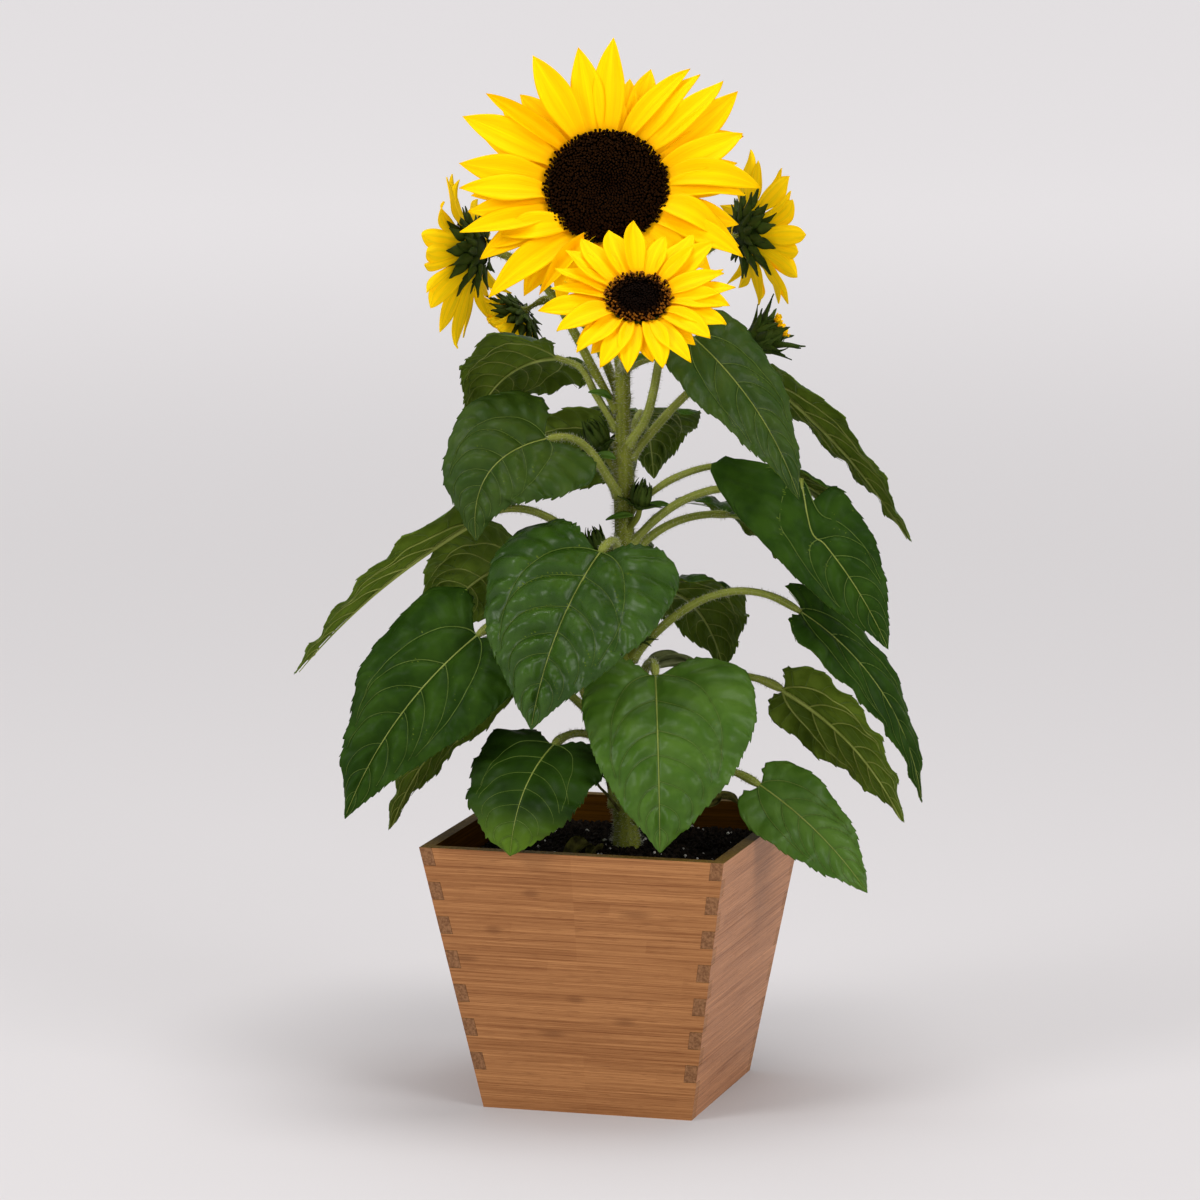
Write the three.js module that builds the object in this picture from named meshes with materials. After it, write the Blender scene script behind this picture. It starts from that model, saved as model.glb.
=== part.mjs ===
// A young branching sunflower in a flared bamboo planter.
// Millimetres, +Z up, origin on the ground under the middle of the planter.
// The planter's front board faces -Y. Bearings are degrees from +X towards +Y.
import * as THREE from 'three';

// ---- planter ----
const PLANTER_TOP = 165;        // outer width across the rim
const PLANTER_BASE = 114.2;     // outer width at the ground
const PLANTER_HEIGHT = 143.7;
const BOARD = 6.6;              // board thickness, measured level
const FINGER_PITCH = 18.8;      // finger joints run down each corner from the rim
const FINGER_HEIGHT = 9.6;
const FINGER_COUNT = 7;
const FLOOR_TOP = 6;
const SOIL_TOP = 128.5;
const SOIL_MOUND = 2.5;         // rise of the soil round the stem

// ---- shared ----
const GAP = 0.3;                // air between touching pieces
const STEM_X = 5.5;             // the stem stands a little off the planter's middle
const BLADE_THICKNESS = 0.9;
const STEM_SIDES = 8;
const STALK_SIDES = 6;

// ---- main stem: height, x, y and radius at each station ----
const STEM = [
  [131.3, 5.5, 0, 7.4],
  [137, 5.5, 0, 6.7],
  [158, 4.8, 0, 6.1],
  [200, 5.2, 0, 5.6],
  [250, 5.6, 0, 5.3],
  [300, 5.8, 0, 5.1],
  [343, 5.8, 0, 5.2],
  [352, 5.6, 0, 4.4],
  [390, 5.5, 0.6, 3.9],
  [425, 4.8, 3.2, 3.5],
  [447, 3.6, 3.6, 3.4],
];

// ---- blooms ----
// at: centre of the disc's face; faces: [bearing, elevation]; disc: radius of the disc;
// rays: number shown; reach: radius to the ray tips; cup: how far the tips stand forward;
// sway: how much the rays differ in length; hang: how far the lowest rays fall back.
const BLOOMS = [
  {
    name: 'bloom_main', at: [7, -31, 486], faces: [287, 31], disc: 31, rays: 17, reach: 80,
    cup: 9, sway: 0.07, hang: 18,
  },
  {
    name: 'bloom_front', at: [37, -76, 434], faces: [287, 50], disc: 16, rays: 15, reach: 48,
    cup: 3, sway: 0.09,
  },
  {
    name: 'bloom_right', at: [74, 33, 458], faces: [44, 2], disc: 14, rays: 13, reach: 42,
    cup: -4, sway: 0.12,
  },
  {
    name: 'bloom_left', at: [-79, -20, 449], faces: [172, -6], disc: 14, rays: 13, reach: 42,
    cup: -3, sway: 0.12,
  },
  {
    name: 'bloom_low_left', at: [-59, 19, 410], faces: [186, -42], disc: 11, rays: 11, reach: 26,
    cup: -2, sway: 0.1,
  },
];

// ---- flower stalks: bloom or bud they carry, height and bearing where they leave the stem ----
const FLOWER_STALKS = [
  { name: 'stalk_front', to: 'bloom_front', height: 388, bearing: 290, rise: 20 },
  { name: 'stalk_right', to: 'bloom_right', height: 404, bearing: 30, rise: 40 },
  { name: 'stalk_left', to: 'bloom_left', height: 368, bearing: 195, rise: 58 },
  { name: 'stalk_low_left', to: 'bloom_low_left', height: 372, bearing: 140, rise: 62 },
];

// ---- buds: where the stalk leaves the stem, base of the head, its facing, radius and length ----
const BUDS = [
  {
    name: 'bud_outer_right', height: 394, bearing: 28, rise: 5,
    at: [69, 19, 400], faces: [20, 28], radius: 9.5, long: 20,
  },
  {
    name: 'bud_axil_upper', height: 336, bearing: 196, rise: 50,
    at: [-5, -2, 345], faces: [198, 62], radius: 7, long: 12,
  },
  {
    name: 'bud_axil_right', height: 305, bearing: 325, rise: 40,
    at: [16, -6, 314], faces: [345, 80], radius: 5.6, long: 13,
  },
  {
    name: 'bud_axil_front', height: 285, bearing: 236, rise: 50,
    at: [-4, -14, 292], faces: [236, 75], radius: 4.8, long: 11,
  },
  {
    name: 'bud_axil_low', height: 237, bearing: 320, rise: 50,
    at: [15, -8, 244], faces: [330, 70], radius: 4.8, long: 10,
  },
];

// ---- leaves, top of the plant to the bottom ----
// from: where blade and petiole meet; tip: the drip tip; width: widest span of the blade;
// height: where the petiole leaves the stem; arch: rise of the midrib over its chord;
// roll: turn about the midrib; fold: lift of the two halves beside it;
// droop: fall of the margins; lobes: how far each basal lobe reaches back, against the usual;
// halves: width of each half against the usual; under: how far below the blade the petiole ends;
// bearing, rise: the petiole's own start, where it doesn't head straight for the blade;
// stalk: 'own' where the petiole is a piece by itself.
const LEAVES = [
  {
    name: 'leaf_01', from: [-30, -2, 393], tip: [-85, 19, 350], width: 68, height: 358,
    arch: 0.14, roll: -28,
  },
  {
    name: 'leaf_02', from: [-26, -33, 354], tip: [-58, -55, 302], width: 76, height: 324,
    arch: 0.24, roll: 44, lobes: [2.4, 1], bearing: 238, stalk: 'own',
  },
  {
    name: 'leaf_03', from: [-9, 17, 347], tip: [-69, 40, 308], width: 56, height: 328,
    arch: 0.08, roll: -50,
  },
  {
    name: 'leaf_04', from: [6, 31, 361], tip: [-5, 93, 316], width: 60, height: 338,
    arch: 0.12, roll: 0,
  },
  {
    name: 'leaf_05', from: [52, -26, 408], tip: [109, -29, 326], width: 55, height: 350,
    arch: 0.07, roll: -35, under: 3, bearing: 345, rise: 40, stalk: 'own',
  },
  {
    name: 'leaf_06', from: [81, 27, 378], tip: [147, 58, 292], width: 54, height: 343,
    arch: 0.04, roll: 16, fold: 0.4, stalk: 'own',
  },
  {
    name: 'leaf_07', from: [101, 0, 313], tip: [150, -4, 245], width: 52, height: 297,
    arch: 0.05, roll: -50, lobes: [1, 4.6], under: 3, bearing: 0, stalk: 'own',
  },
  {
    name: 'leaf_08', from: [55, 28, 308], tip: [78, 77, 269], width: 66, height: 290,
    arch: 0.12, roll: -10, lobes: [2.2, 1], stalk: 'own',
  },
  {
    name: 'leaf_09', from: [-71, -25, 307], tip: [-164, -45, 225], width: 50, height: 278,
    arch: 0.04, roll: -12, fold: 0.5, droop: 0.2, stalk: 'own',
  },
  {
    name: 'leaf_10', from: [-58, 12, 282], tip: [-114, 32, 236], width: 68, height: 262,
    arch: 0.08, roll: -50, stalk: 'own',
  },
  {
    name: 'leaf_11', from: [8, -51, 298], tip: [-15, -100, 212], width: 104, height: 271,
    arch: 0.08, roll: 16, stalk: 'own',
  },
  {
    name: 'leaf_12', from: [-57, -59, 253], tip: [-118, -98, 160], width: 80, height: 158,
    arch: 0.07, roll: 45, rise: 78, stalk: 'own',
  },
  {
    name: 'leaf_13', from: [-58, -24, 219], tip: [-115, -37, 142], width: 56, height: 190,
    arch: 0.08, roll: -30, stalk: 'own',
  },
  {
    name: 'leaf_14', from: [98, 14, 260], tip: [159, 32, 157], width: 44, height: 236,
    arch: 0.11, roll: -34, lobes: [1, 0.4], stalk: 'own',
  },
  {
    name: 'leaf_15', from: [14, 26, 269], tip: [36, 87, 213], width: 78, height: 246,
    arch: 0.14, roll: 6,
  },
  {
    name: 'leaf_16', from: [87, 19, 217], tip: [152, 22, 148], width: 54, height: 190,
    arch: 0.08, roll: 58, lobes: [0.5, 0.5], stalk: 'own',
  },
  {
    name: 'leaf_17', from: [35, -43, 233], tip: [48, -81, 147], width: 90, height: 205,
    arch: 0.1, roll: 0, halves: [1.15, 0.85], stalk: 'own',
  },
  {
    name: 'leaf_18', from: [-17, -55, 196], tip: [-29, -94, 144], width: 72, height: 177,
    arch: 0.14, roll: 10, bearing: 262, stalk: 'own',
  },
  {
    name: 'leaf_19', from: [82, -10, 171], tip: [141, -13, 117], width: 46, height: 150,
    arch: 0.05, roll: -48, lobes: [0.6, 0.6], stalk: 'own',
  },
  {
    name: 'leaf_20', from: [-18, 35, 288], tip: [-43, 95, 215], width: 60, height: 268,
    arch: 0.14, roll: 0,
  },
  {
    name: 'leaf_21', from: [17, 45, 209], tip: [2, 116, 135], width: 66, height: 184,
    arch: 0.14, roll: 0,
  },
  {
    name: 'leaf_22', from: [-72, 40, 236], tip: [-118, 68, 186], width: 50, height: 218,
    arch: 0.12, roll: 0,
  },
  {
    name: 'leaf_23', from: [71, 24, 334], tip: [123, 62, 291], width: 56, height: 315,
    arch: 0.1, roll: 8, rise: 40,
  },
  {
    name: 'leaf_24', from: [29, 56, 386], tip: [50, 112, 338], width: 54, height: 388,
    arch: 0.14, roll: 0, rise: 15,
  },
];

// Blade outline of a sunflower leaf: share of the length, half width, and how far the
// margin sweeps back behind the junction, from the heart-shaped base to the drip tip.
const OUTLINE = [
  [0.0, 0.60, 0.17],
  [0.1, 0.90, 0.12],
  [0.23, 1.0, 0.06],
  [0.38, 0.92, 0.02],
  [0.55, 0.72, 0],
  [0.72, 0.47, 0],
  [0.87, 0.22, 0],
];

const COLOURS = {
  bambooFront: 0xb87a45,
  bambooSide: 0xa8704c,
  floor: 0x8a5c38,
  soil: 0x241c16,
  stem: 0x6c7433,
  petiole: 0x7c8439,
  leaf: 0x2c5a24,
  bloom: 0xf4c409,
  bud: 0x4c5f2e,
};

const UP = new THREE.Vector3(0, 0, 1);

function radians(degrees) {
  return degrees * Math.PI / 180;
}

function vector(list) {
  return new THREE.Vector3(list[0], list[1], list[2]);
}

function direction(bearing, elevation) {
  const level = Math.cos(radians(elevation));
  return new THREE.Vector3(
    level * Math.cos(radians(bearing)),
    level * Math.sin(radians(bearing)),
    Math.sin(radians(elevation)),
  );
}

function named(name, geometry, colour) {
  geometry.computeVertexNormals();
  const material = new THREE.MeshStandardMaterial({ color: colour, roughness: 0.7 });
  const mesh = new THREE.Mesh(geometry, material);
  mesh.name = name;
  return mesh;
}

function solid(points, faces) {
  const geometry = new THREE.BufferGeometry();
  const flat = points.flatMap((p) => [p.x, p.y, p.z]);
  geometry.setAttribute('position', new THREE.Float32BufferAttribute(flat, 3));
  geometry.setIndex(faces.flat());
  return geometry;
}

// Closed skin over rings of equal count, each ring counter-clockwise seen from the far end.
function skinOverRings(rings, first, last) {
  const count = rings[0].length;
  const points = [first, ...rings.flat(), last];
  const end = points.length - 1;
  const at = (ring, k) => 1 + ring * count + (k % count);
  const faces = [];
  for (let k = 0; k < count; k += 1) {
    faces.push([0, at(0, k + 1), at(0, k)]);
    for (let ring = 0; ring + 1 < rings.length; ring += 1) {
      faces.push([at(ring, k), at(ring, k + 1), at(ring + 1, k + 1)]);
      faces.push([at(ring, k), at(ring + 1, k + 1), at(ring + 1, k)]);
    }
    faces.push([end, at(rings.length - 1, k), at(rings.length - 1, k + 1)]);
  }
  return solid(points, faces);
}

// Round limb through the centres, one ring of `sides` points square to each heading.
function limb(centres, radii, headings, sides) {
  const reference = Math.abs(headings[0].z) > 0.8 ? new THREE.Vector3(1, 0, 0) : UP;
  let side = reference.clone().cross(headings[0]).normalize();
  const rings = centres.map((centre, i) => {
    const heading = headings[i];
    side = side.clone().addScaledVector(heading, -side.dot(heading)).normalize();
    const other = heading.clone().cross(side);
    const ring = [];
    for (let k = 0; k < sides; k += 1) {
      const turn = 2 * Math.PI * k / sides;
      const across = side.clone().multiplyScalar(Math.cos(turn)).addScaledVector(other, Math.sin(turn));
      ring.push(centre.clone().addScaledVector(across, radii[i]));
    }
    return ring;
  });
  return skinOverRings(rings, centres[0], centres[centres.length - 1]);
}

// ---- planter ----
function outerHalf(z) {
  return (PLANTER_BASE + (PLANTER_TOP - PLANTER_BASE) * z / PLANTER_HEIGHT) / 2;
}

function innerHalf(z) {
  return outerHalf(z) - BOARD;
}

// One board: its outline steps in and out at the finger joints, and it leans with the flare.
// `fingers` boards reach the corner at the finger heights, the others between them.
function board(fingers) {
  const short = (z) => innerHalf(z) - GAP;
  const right = [];
  let z = PLANTER_HEIGHT;
  for (let k = 0; k < FINGER_COUNT; k += 1) {
    const top = PLANTER_HEIGHT - k * FINGER_PITCH;
    const bottom = top - FINGER_HEIGHT;
    const next = k + 1 < FINGER_COUNT ? top - FINGER_PITCH : 0;
    const [a, b] = fingers ? [outerHalf, short] : [short, outerHalf];
    const upper = k === 0 ? top : z;
    const step = bottom + (fingers ? GAP / 2 : -GAP / 2);
    right.push([a(upper), upper], [a(step), step], [b(step), step]);
    z = next + (fingers ? -GAP / 2 : GAP / 2);
    if (next === 0) {
      z = 0;
    }
    right.push([b(z), z]);
  }
  const left = right.map(([x, height]) => [-x, height]).reverse();
  const shape = new THREE.Shape([...right, ...left].map(([x, height]) => new THREE.Vector2(x, height)));
  const geometry = new THREE.ExtrudeGeometry(shape, { depth: 1, bevelEnabled: false });
  const position = geometry.attributes.position;
  for (let i = 0; i < position.count; i += 1) {
    const x = position.getX(i);
    const height = position.getY(i);
    const outward = position.getZ(i) > 0.5 ? outerHalf(height) : innerHalf(height);
    position.setXYZ(i, x, -outward, height);
  }
  return geometry;
}

function planter() {
  const boards = [
    ['planter_front', false, 0, COLOURS.bambooFront],
    ['planter_right', true, 90, COLOURS.bambooSide],
    ['planter_back', false, 180, COLOURS.bambooFront],
    ['planter_left', true, 270, COLOURS.bambooSide],
  ];
  const pieces = boards.map(([name, fingers, turn, colour]) => {
    const geometry = board(fingers).rotateZ(radians(turn));
    return named(name, geometry, colour);
  });
  const square = (z, inset) => {
    const half = innerHalf(z) - inset;
    return [[-half, -half], [half, -half], [half, half], [-half, half]].map(
      ([x, y]) => new THREE.Vector3(x, y, z),
    );
  };
  const floorRings = [square(0, GAP), square(FLOOR_TOP, GAP)];
  const floor = skinOverRings(floorRings, new THREE.Vector3(0, 0, 0), new THREE.Vector3(0, 0, FLOOR_TOP));
  pieces.push(named('planter_floor', floor, COLOURS.floor));
  return pieces;
}

// ---- soil: level at the boards, gently mounded and uneven between them ----
function soilHeight(x, y) {
  const reach = Math.hypot(x - STEM_X, y);
  const mound = SOIL_MOUND * Math.min(1, 1.25 * Math.exp(-reach * reach / 900));
  const bumps = 0.7 * Math.sin(x / 9) * Math.cos(y / 11) * Math.min(1, reach / 25);
  return SOIL_TOP + mound + bumps;
}

function soil() {
  const cells = 8;
  const half = innerHalf(SOIL_TOP - 1) - GAP;
  const foot = innerHalf(FLOOR_TOP + GAP) - GAP;
  const points = [];
  for (let row = 0; row <= cells; row += 1) {
    for (let column = 0; column <= cells; column += 1) {
      const x = half * (2 * column / cells - 1);
      const y = half * (2 * row / cells - 1);
      const edge = row === 0 || column === 0 || row === cells || column === cells;
      points.push(new THREE.Vector3(x, y, edge ? SOIL_TOP - 1 : soilHeight(x, y)));
    }
  }
  const at = (column, row) => row * (cells + 1) + column;
  const faces = [];
  for (let row = 0; row < cells; row += 1) {
    for (let column = 0; column < cells; column += 1) {
      faces.push([at(column, row), at(column + 1, row), at(column + 1, row + 1)]);
      faces.push([at(column, row), at(column + 1, row + 1), at(column, row + 1)]);
    }
  }
  const rim = [];
  for (let k = 0; k < cells; k += 1) {
    rim.push(at(k, 0));
  }
  for (let k = 0; k < cells; k += 1) {
    rim.push(at(cells, k));
  }
  for (let k = cells; k > 0; k -= 1) {
    rim.push(at(k, cells));
  }
  for (let k = cells; k > 0; k -= 1) {
    rim.push(at(0, k));
  }
  const corners = points.length;
  for (const [x, y] of [[-1, -1], [1, -1], [1, 1], [-1, 1]]) {
    points.push(new THREE.Vector3(x * foot, y * foot, FLOOR_TOP + GAP));
  }
  rim.forEach((index, k) => {
    const side = Math.floor(k / cells);
    const next = rim[(k + 1) % rim.length];
    faces.push([next, index, corners + side]);
    if (k % cells === cells - 1) {
      faces.push([next, corners + side, corners + (side + 1) % 4]);
    }
  });
  faces.push([corners, corners + 2, corners + 1], [corners, corners + 3, corners + 2]);
  return named('soil', solid(points, faces), COLOURS.soil);
}

// ---- stem ----
function stemAt(z) {
  const above = Math.max(1, STEM.findIndex((station) => station[0] >= z));
  const [low, high] = [STEM[above - 1], STEM[above]];
  const share = (z - low[0]) / (high[0] - low[0]);
  const mix = (k) => low[k] + (high[k] - low[k]) * share;
  return { centre: new THREE.Vector3(mix(1), mix(2), z), radius: mix(3) };
}

function bloomFrame(bloom) {
  const facing = direction(bloom.faces[0], bloom.faces[1]);
  const across = facing.clone().cross(UP).normalize();
  const upward = across.clone().cross(facing);
  return { centre: vector(bloom.at), facing, across, upward, back: 0.62 * bloom.disc };
}

function mainStem() {
  const centres = STEM.map(([z, x, y]) => new THREE.Vector3(x, y, z));
  const radii = STEM.map((station) => station[3]);
  const headings = centres.map(() => UP.clone());
  // The neck bends over to meet the back of the main bloom.
  const { centre, facing, back } = bloomFrame(BLOOMS[0]);
  const end = centre.clone().addScaledVector(facing, -back - GAP);
  const start = centres[centres.length - 1];
  const neck = new THREE.CubicBezierCurve3(
    start,
    start.clone().addScaledVector(UP, 10),
    end.clone().addScaledVector(facing, -12),
    end,
  );
  for (const share of [0.3, 0.55, 0.78, 1]) {
    centres.push(neck.getPoint(share));
    radii.push(3.4 + 0.6 * share);
    headings.push(neck.getTangent(share));
  }
  return named('stem', limb(centres, radii, headings, STEM_SIDES), COLOURS.stem);
}

// Curve that leaves the stem's side at a height and bearing and arrives along a heading.
function stalkCurve(height, bearing, rise, end, arriving) {
  const { centre, radius } = stemAt(height);
  const outward = direction(bearing, 0);
  const start = centre.clone().addScaledVector(outward, radius + GAP);
  const handle = 0.42 * start.distanceTo(end);
  return new THREE.CubicBezierCurve3(
    start,
    start.clone().addScaledVector(direction(bearing, rise), handle),
    end.clone().addScaledVector(arriving, -handle),
    end,
  );
}

function stalkLimb(name, curve, bearing, thick, thin, steps, colour) {
  const centres = [];
  const radii = [];
  const headings = [];
  for (let i = 0; i <= steps; i += 1) {
    const share = i / steps;
    centres.push(curve.getPoint(share));
    radii.push(thick + (thin - thick) * Math.sqrt(share));
    headings.push(i === 0 ? direction(bearing, 0) : curve.getTangent(share));
  }
  return named(name, limb(centres, radii, headings, STALK_SIDES), colour);
}

function flowerStalks() {
  return FLOWER_STALKS.map((stalk) => {
    const bloom = BLOOMS.find((entry) => entry.name === stalk.to);
    const { centre, facing, back } = bloomFrame(bloom);
    const end = centre.clone().addScaledVector(facing, -back - GAP);
    const curve = stalkCurve(stalk.height, stalk.bearing, stalk.rise, end, facing);
    return stalkLimb(stalk.name, curve, stalk.bearing, 2.7, 2.2, 6, COLOURS.stem);
  });
}

// ---- blooms: receptacle, rays and disc as one closed skin round the bloom's axis ----
function bloomSolid(bloom) {
  const { centre, facing, across, upward, back } = bloomFrame(bloom);
  const { disc, rays, reach, cup, sway, hang = 0 } = bloom;
  const length = reach - disc;
  const columns = 2 * rays;
  // [radius of a ray's line, radius of the gap's line, height along the axis]
  const rows = [
    [0.26 * disc, 0.26 * disc, -back],
    [0.8 * disc, 0.8 * disc, -0.42 * disc],
    [disc, disc, -2],
    [disc + 0.5 * length, disc + 0.4 * length, 0.35 * cup - 0.8],
    [reach, disc + 0.62 * length, cup],
    [disc + 0.5 * length, disc + 0.4 * length, 0.35 * cup + 0.8],
    [disc, disc, 1],
    [0.72 * disc, 0.72 * disc, 0.14 * disc],
  ];
  const rings = rows.map(([onRay, between, forward], row) => {
    const ring = [];
    for (let k = 0; k < columns; k += 1) {
      const turn = Math.PI * k / rays;
      const ray = k % 2 === 0;
      const stretch = row > 2 && row < 6 ? 1 + sway * Math.sin(2.4 * k + disc) : 1;
      const radius = ray ? disc + (onRay - disc) * stretch : between;
      const fall = hang * (1 - Math.cos(turn)) / 2 * Math.max(0, (radius - disc) / length) ** 1.5;
      const height = (ray || row !== 4 ? forward : 0.6 * cup) - fall;
      ring.push(
        centre.clone()
          .addScaledVector(across, radius * Math.sin(turn))
          .addScaledVector(upward, radius * Math.cos(turn))
          .addScaledVector(facing, height),
      );
    }
    return ring;
  });
  const first = centre.clone().addScaledVector(facing, -back);
  const last = centre.clone().addScaledVector(facing, 0.08 * disc);
  return named(bloom.name, skinOverRings(rings, first, last), COLOURS.bloom);
}

// ---- buds: stalk swelling into the closed head ----
function budSolid(bud) {
  const base = vector(bud.at);
  const facing = direction(bud.faces[0], bud.faces[1]);
  const curve = stalkCurve(bud.height, bud.bearing, bud.rise, base, facing);
  const stalkShares = [0, 0.25, 0.5, 0.75, 1];
  // [share of the head's length, share of its widest radius]
  const head = [[0.18, 0.85], [0.45, 1], [0.8, 0.7], [1, 0.25]];
  const centres = [
    ...stalkShares.map((share) => curve.getPoint(share)),
    ...head.map(([share]) => base.clone().addScaledVector(facing, share * bud.long)),
  ];
  const radii = [
    ...stalkShares.map((share) => 1.9 - 0.4 * share),
    ...head.map(([, share]) => share * bud.radius),
  ];
  const headings = [
    ...stalkShares.map((share) => (share === 0 ? direction(bud.bearing, 0) : curve.getTangent(share))),
    ...head.map(() => facing),
  ];
  return named(bud.name, limb(centres, radii, headings, STALK_SIDES), COLOURS.bud);
}

// ---- leaves ----
function midrib(leaf) {
  const from = vector(leaf.from);
  const tip = vector(leaf.tip);
  const chord = tip.clone().sub(from);
  const length = chord.length();
  const side = chord.clone().cross(UP).normalize();
  const above = side.clone().cross(chord).normalize();
  const middle = from.clone().add(tip).multiplyScalar(0.5).addScaledVector(above, 2 * leaf.arch * length);
  return { curve: new THREE.QuadraticBezierCurve3(from, middle, tip), length };
}

// Across and normal of the blade where it heads along `heading`, turned by `roll` degrees.
function bladeAxes(heading, roll) {
  const side = heading.clone().cross(UP).normalize();
  const above = side.clone().cross(heading).normalize();
  const turn = radians(roll);
  const across = side.clone().multiplyScalar(Math.cos(turn)).addScaledVector(above, Math.sin(turn));
  const normal = above.clone().multiplyScalar(Math.cos(turn)).addScaledVector(side, -Math.sin(turn));
  return { across, normal };
}

function petioleStart(leaf) {
  const { centre } = stemAt(leaf.height);
  const toward = vector(leaf.from).sub(centre);
  const bearing = leaf.bearing ?? Math.atan2(toward.y, toward.x) * 180 / Math.PI;
  return { bearing, rise: leaf.rise ?? 50 };
}

// Closed blade from rows of mid-surface points, each with its normal and half thickness.
function bladeSkin(rows, tip) {
  const count = rows[0].length;
  const points = [];
  for (const row of rows) {
    for (const { point, normal, half } of row) {
      points.push(point.clone().addScaledVector(normal, half));
    }
    for (const { point, normal, half } of row) {
      points.push(point.clone().addScaledVector(normal, -half));
    }
  }
  points.push(tip);
  const end = points.length - 1;
  const top = (row, k) => row * 2 * count + k;
  const under = (row, k) => top(row, k) + count;
  const faces = [];
  const quad = (a, b, c, d) => faces.push([a, b, c], [a, c, d]);
  for (let row = 0; row + 1 < rows.length; row += 1) {
    for (let k = 0; k + 1 < count; k += 1) {
      quad(top(row, k), top(row, k + 1), top(row + 1, k + 1), top(row + 1, k));
      quad(under(row, k + 1), under(row, k), under(row + 1, k), under(row + 1, k + 1));
    }
    quad(under(row, 0), top(row, 0), top(row + 1, 0), under(row + 1, 0));
    quad(top(row, count - 1), under(row, count - 1), under(row + 1, count - 1), top(row + 1, count - 1));
  }
  const last = rows.length - 1;
  for (let k = 0; k + 1 < count; k += 1) {
    faces.push([top(last, k), top(last, k + 1), end], [under(last, k + 1), under(last, k), end]);
    quad(top(0, k + 1), top(0, k), under(0, k), under(0, k + 1));
  }
  faces.push([under(last, 0), top(last, 0), end], [top(last, count - 1), under(last, count - 1), end]);
  return solid(points, faces);
}

function leafPieces(leaf) {
  const { curve, length } = midrib(leaf);
  const { roll, fold = 0.3, droop = 0.35, lobes = [1, 1], halves = [1, 1], under = 0 } = leaf;
  const steps = leaf.width > 61 ? [-1, -0.5, 0, 0.5, 1] : [-1, 0, 1];
  const wide = leaf.width / 2;
  const rows = [];
  const heading = curve.getTangent(0);
  const { bearing, rise } = petioleStart(leaf);
  const own = leaf.stalk === 'own';
  // The petiole stops short of the notch between the basal lobes, or just under the blade.
  const inner = steps.length === 3 ? 1 : 0.5;
  const [, baseSpread, baseSweep] = OUTLINE[0];
  const notch = baseSweep * Math.max(...lobes) * length * inner ** 0.4 / (wide * baseSpread);
  const short = own && under === 0 ? 0.5 + 2 * notch : 1.2;
  const { normal: above } = bladeAxes(heading, roll);
  const end = vector(leaf.from).addScaledVector(heading, -short).addScaledVector(above, -under);
  const petiole = stalkCurve(leaf.height, bearing, rise, end, heading);
  if (!own) {
    for (let i = 0; i < 4; i += 1) {
      const share = i / 3;
      const along = i === 0 ? direction(bearing, 0) : petiole.getTangent(share);
      const { across, normal } = bladeAxes(along, roll * share);
      rows.push(steps.map((v) => ({
        point: petiole.getPoint(share).addScaledVector(across, 2.1 * v),
        normal,
        half: 1.1 + 0.9 * (1 - v * v),
      })));
    }
  }
  for (const [share, spread, sweep] of OUTLINE) {
    const middle = curve.getPoint(share);
    const along = curve.getTangent(share);
    const { across, normal } = bladeAxes(along, roll);
    rows.push(steps.map((v) => {
      const lift = fold * Math.abs(v) - droop * v * v;
      const back = sweep * (v < 0 ? lobes[0] : lobes[1]);
      const reach = wide * spread * (v < 0 ? halves[0] : halves[1]);
      return {
        point: middle.clone()
          .addScaledVector(across, reach * v)
          .addScaledVector(normal, reach * lift)
          .addScaledVector(along, -length * back * Math.abs(v) ** 1.4),
        normal,
        half: BLADE_THICKNESS / 2,
      };
    }));
  }
  const pieces = [named(leaf.name, bladeSkin(rows, vector(leaf.tip)), COLOURS.leaf)];
  if (own) {
    const name = leaf.name.replace('leaf', 'petiole');
    pieces.push(stalkLimb(name, petiole, bearing, 2.7, 2, 6, COLOURS.petiole));
  }
  return pieces;
}

const plant = new THREE.Group();
plant.name = 'potted_sunflower';
plant.add(...planter(), soil(), mainStem(), ...flowerStalks());
plant.add(...BLOOMS.map(bloomSolid), ...BUDS.map(budSolid), ...LEAVES.flatMap(leafPieces));

export default plant;
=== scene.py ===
# %% [markdown]
# # A potted sunflower, dressed over its CAD frame
# The CAD model gives every part of this plant its size and its place: planter, soil, stem, stalks,
# blooms, buds and leaves. This lesson keeps that frame and builds the looks round it: toothed leaves
# with raised veins, petals, florets, hairs, crumbs of soil and the grain of the bamboo.
# Every length is in metres, +Z is up, and the planter's front board faces -Y.

# %% Load the frame
import math

import bmesh
import bpy
import numpy as np
from mathutils import Matrix, Vector, kdtree


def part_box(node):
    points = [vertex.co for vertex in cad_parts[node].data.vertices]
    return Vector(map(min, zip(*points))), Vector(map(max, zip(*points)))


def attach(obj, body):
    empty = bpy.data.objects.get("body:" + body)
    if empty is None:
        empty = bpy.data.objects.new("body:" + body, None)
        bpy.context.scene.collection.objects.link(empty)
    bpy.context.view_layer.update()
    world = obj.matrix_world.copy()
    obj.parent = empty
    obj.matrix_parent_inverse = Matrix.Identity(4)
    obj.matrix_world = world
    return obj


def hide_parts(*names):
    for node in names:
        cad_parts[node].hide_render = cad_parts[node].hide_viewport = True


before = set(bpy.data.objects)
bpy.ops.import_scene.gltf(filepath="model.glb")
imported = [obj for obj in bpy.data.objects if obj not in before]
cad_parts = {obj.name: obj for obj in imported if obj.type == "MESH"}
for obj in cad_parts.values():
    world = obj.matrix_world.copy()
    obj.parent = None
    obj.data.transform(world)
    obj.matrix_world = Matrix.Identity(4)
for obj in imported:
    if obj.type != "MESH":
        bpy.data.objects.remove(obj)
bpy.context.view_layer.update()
MM = 0.001
BODY = "root"

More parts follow.
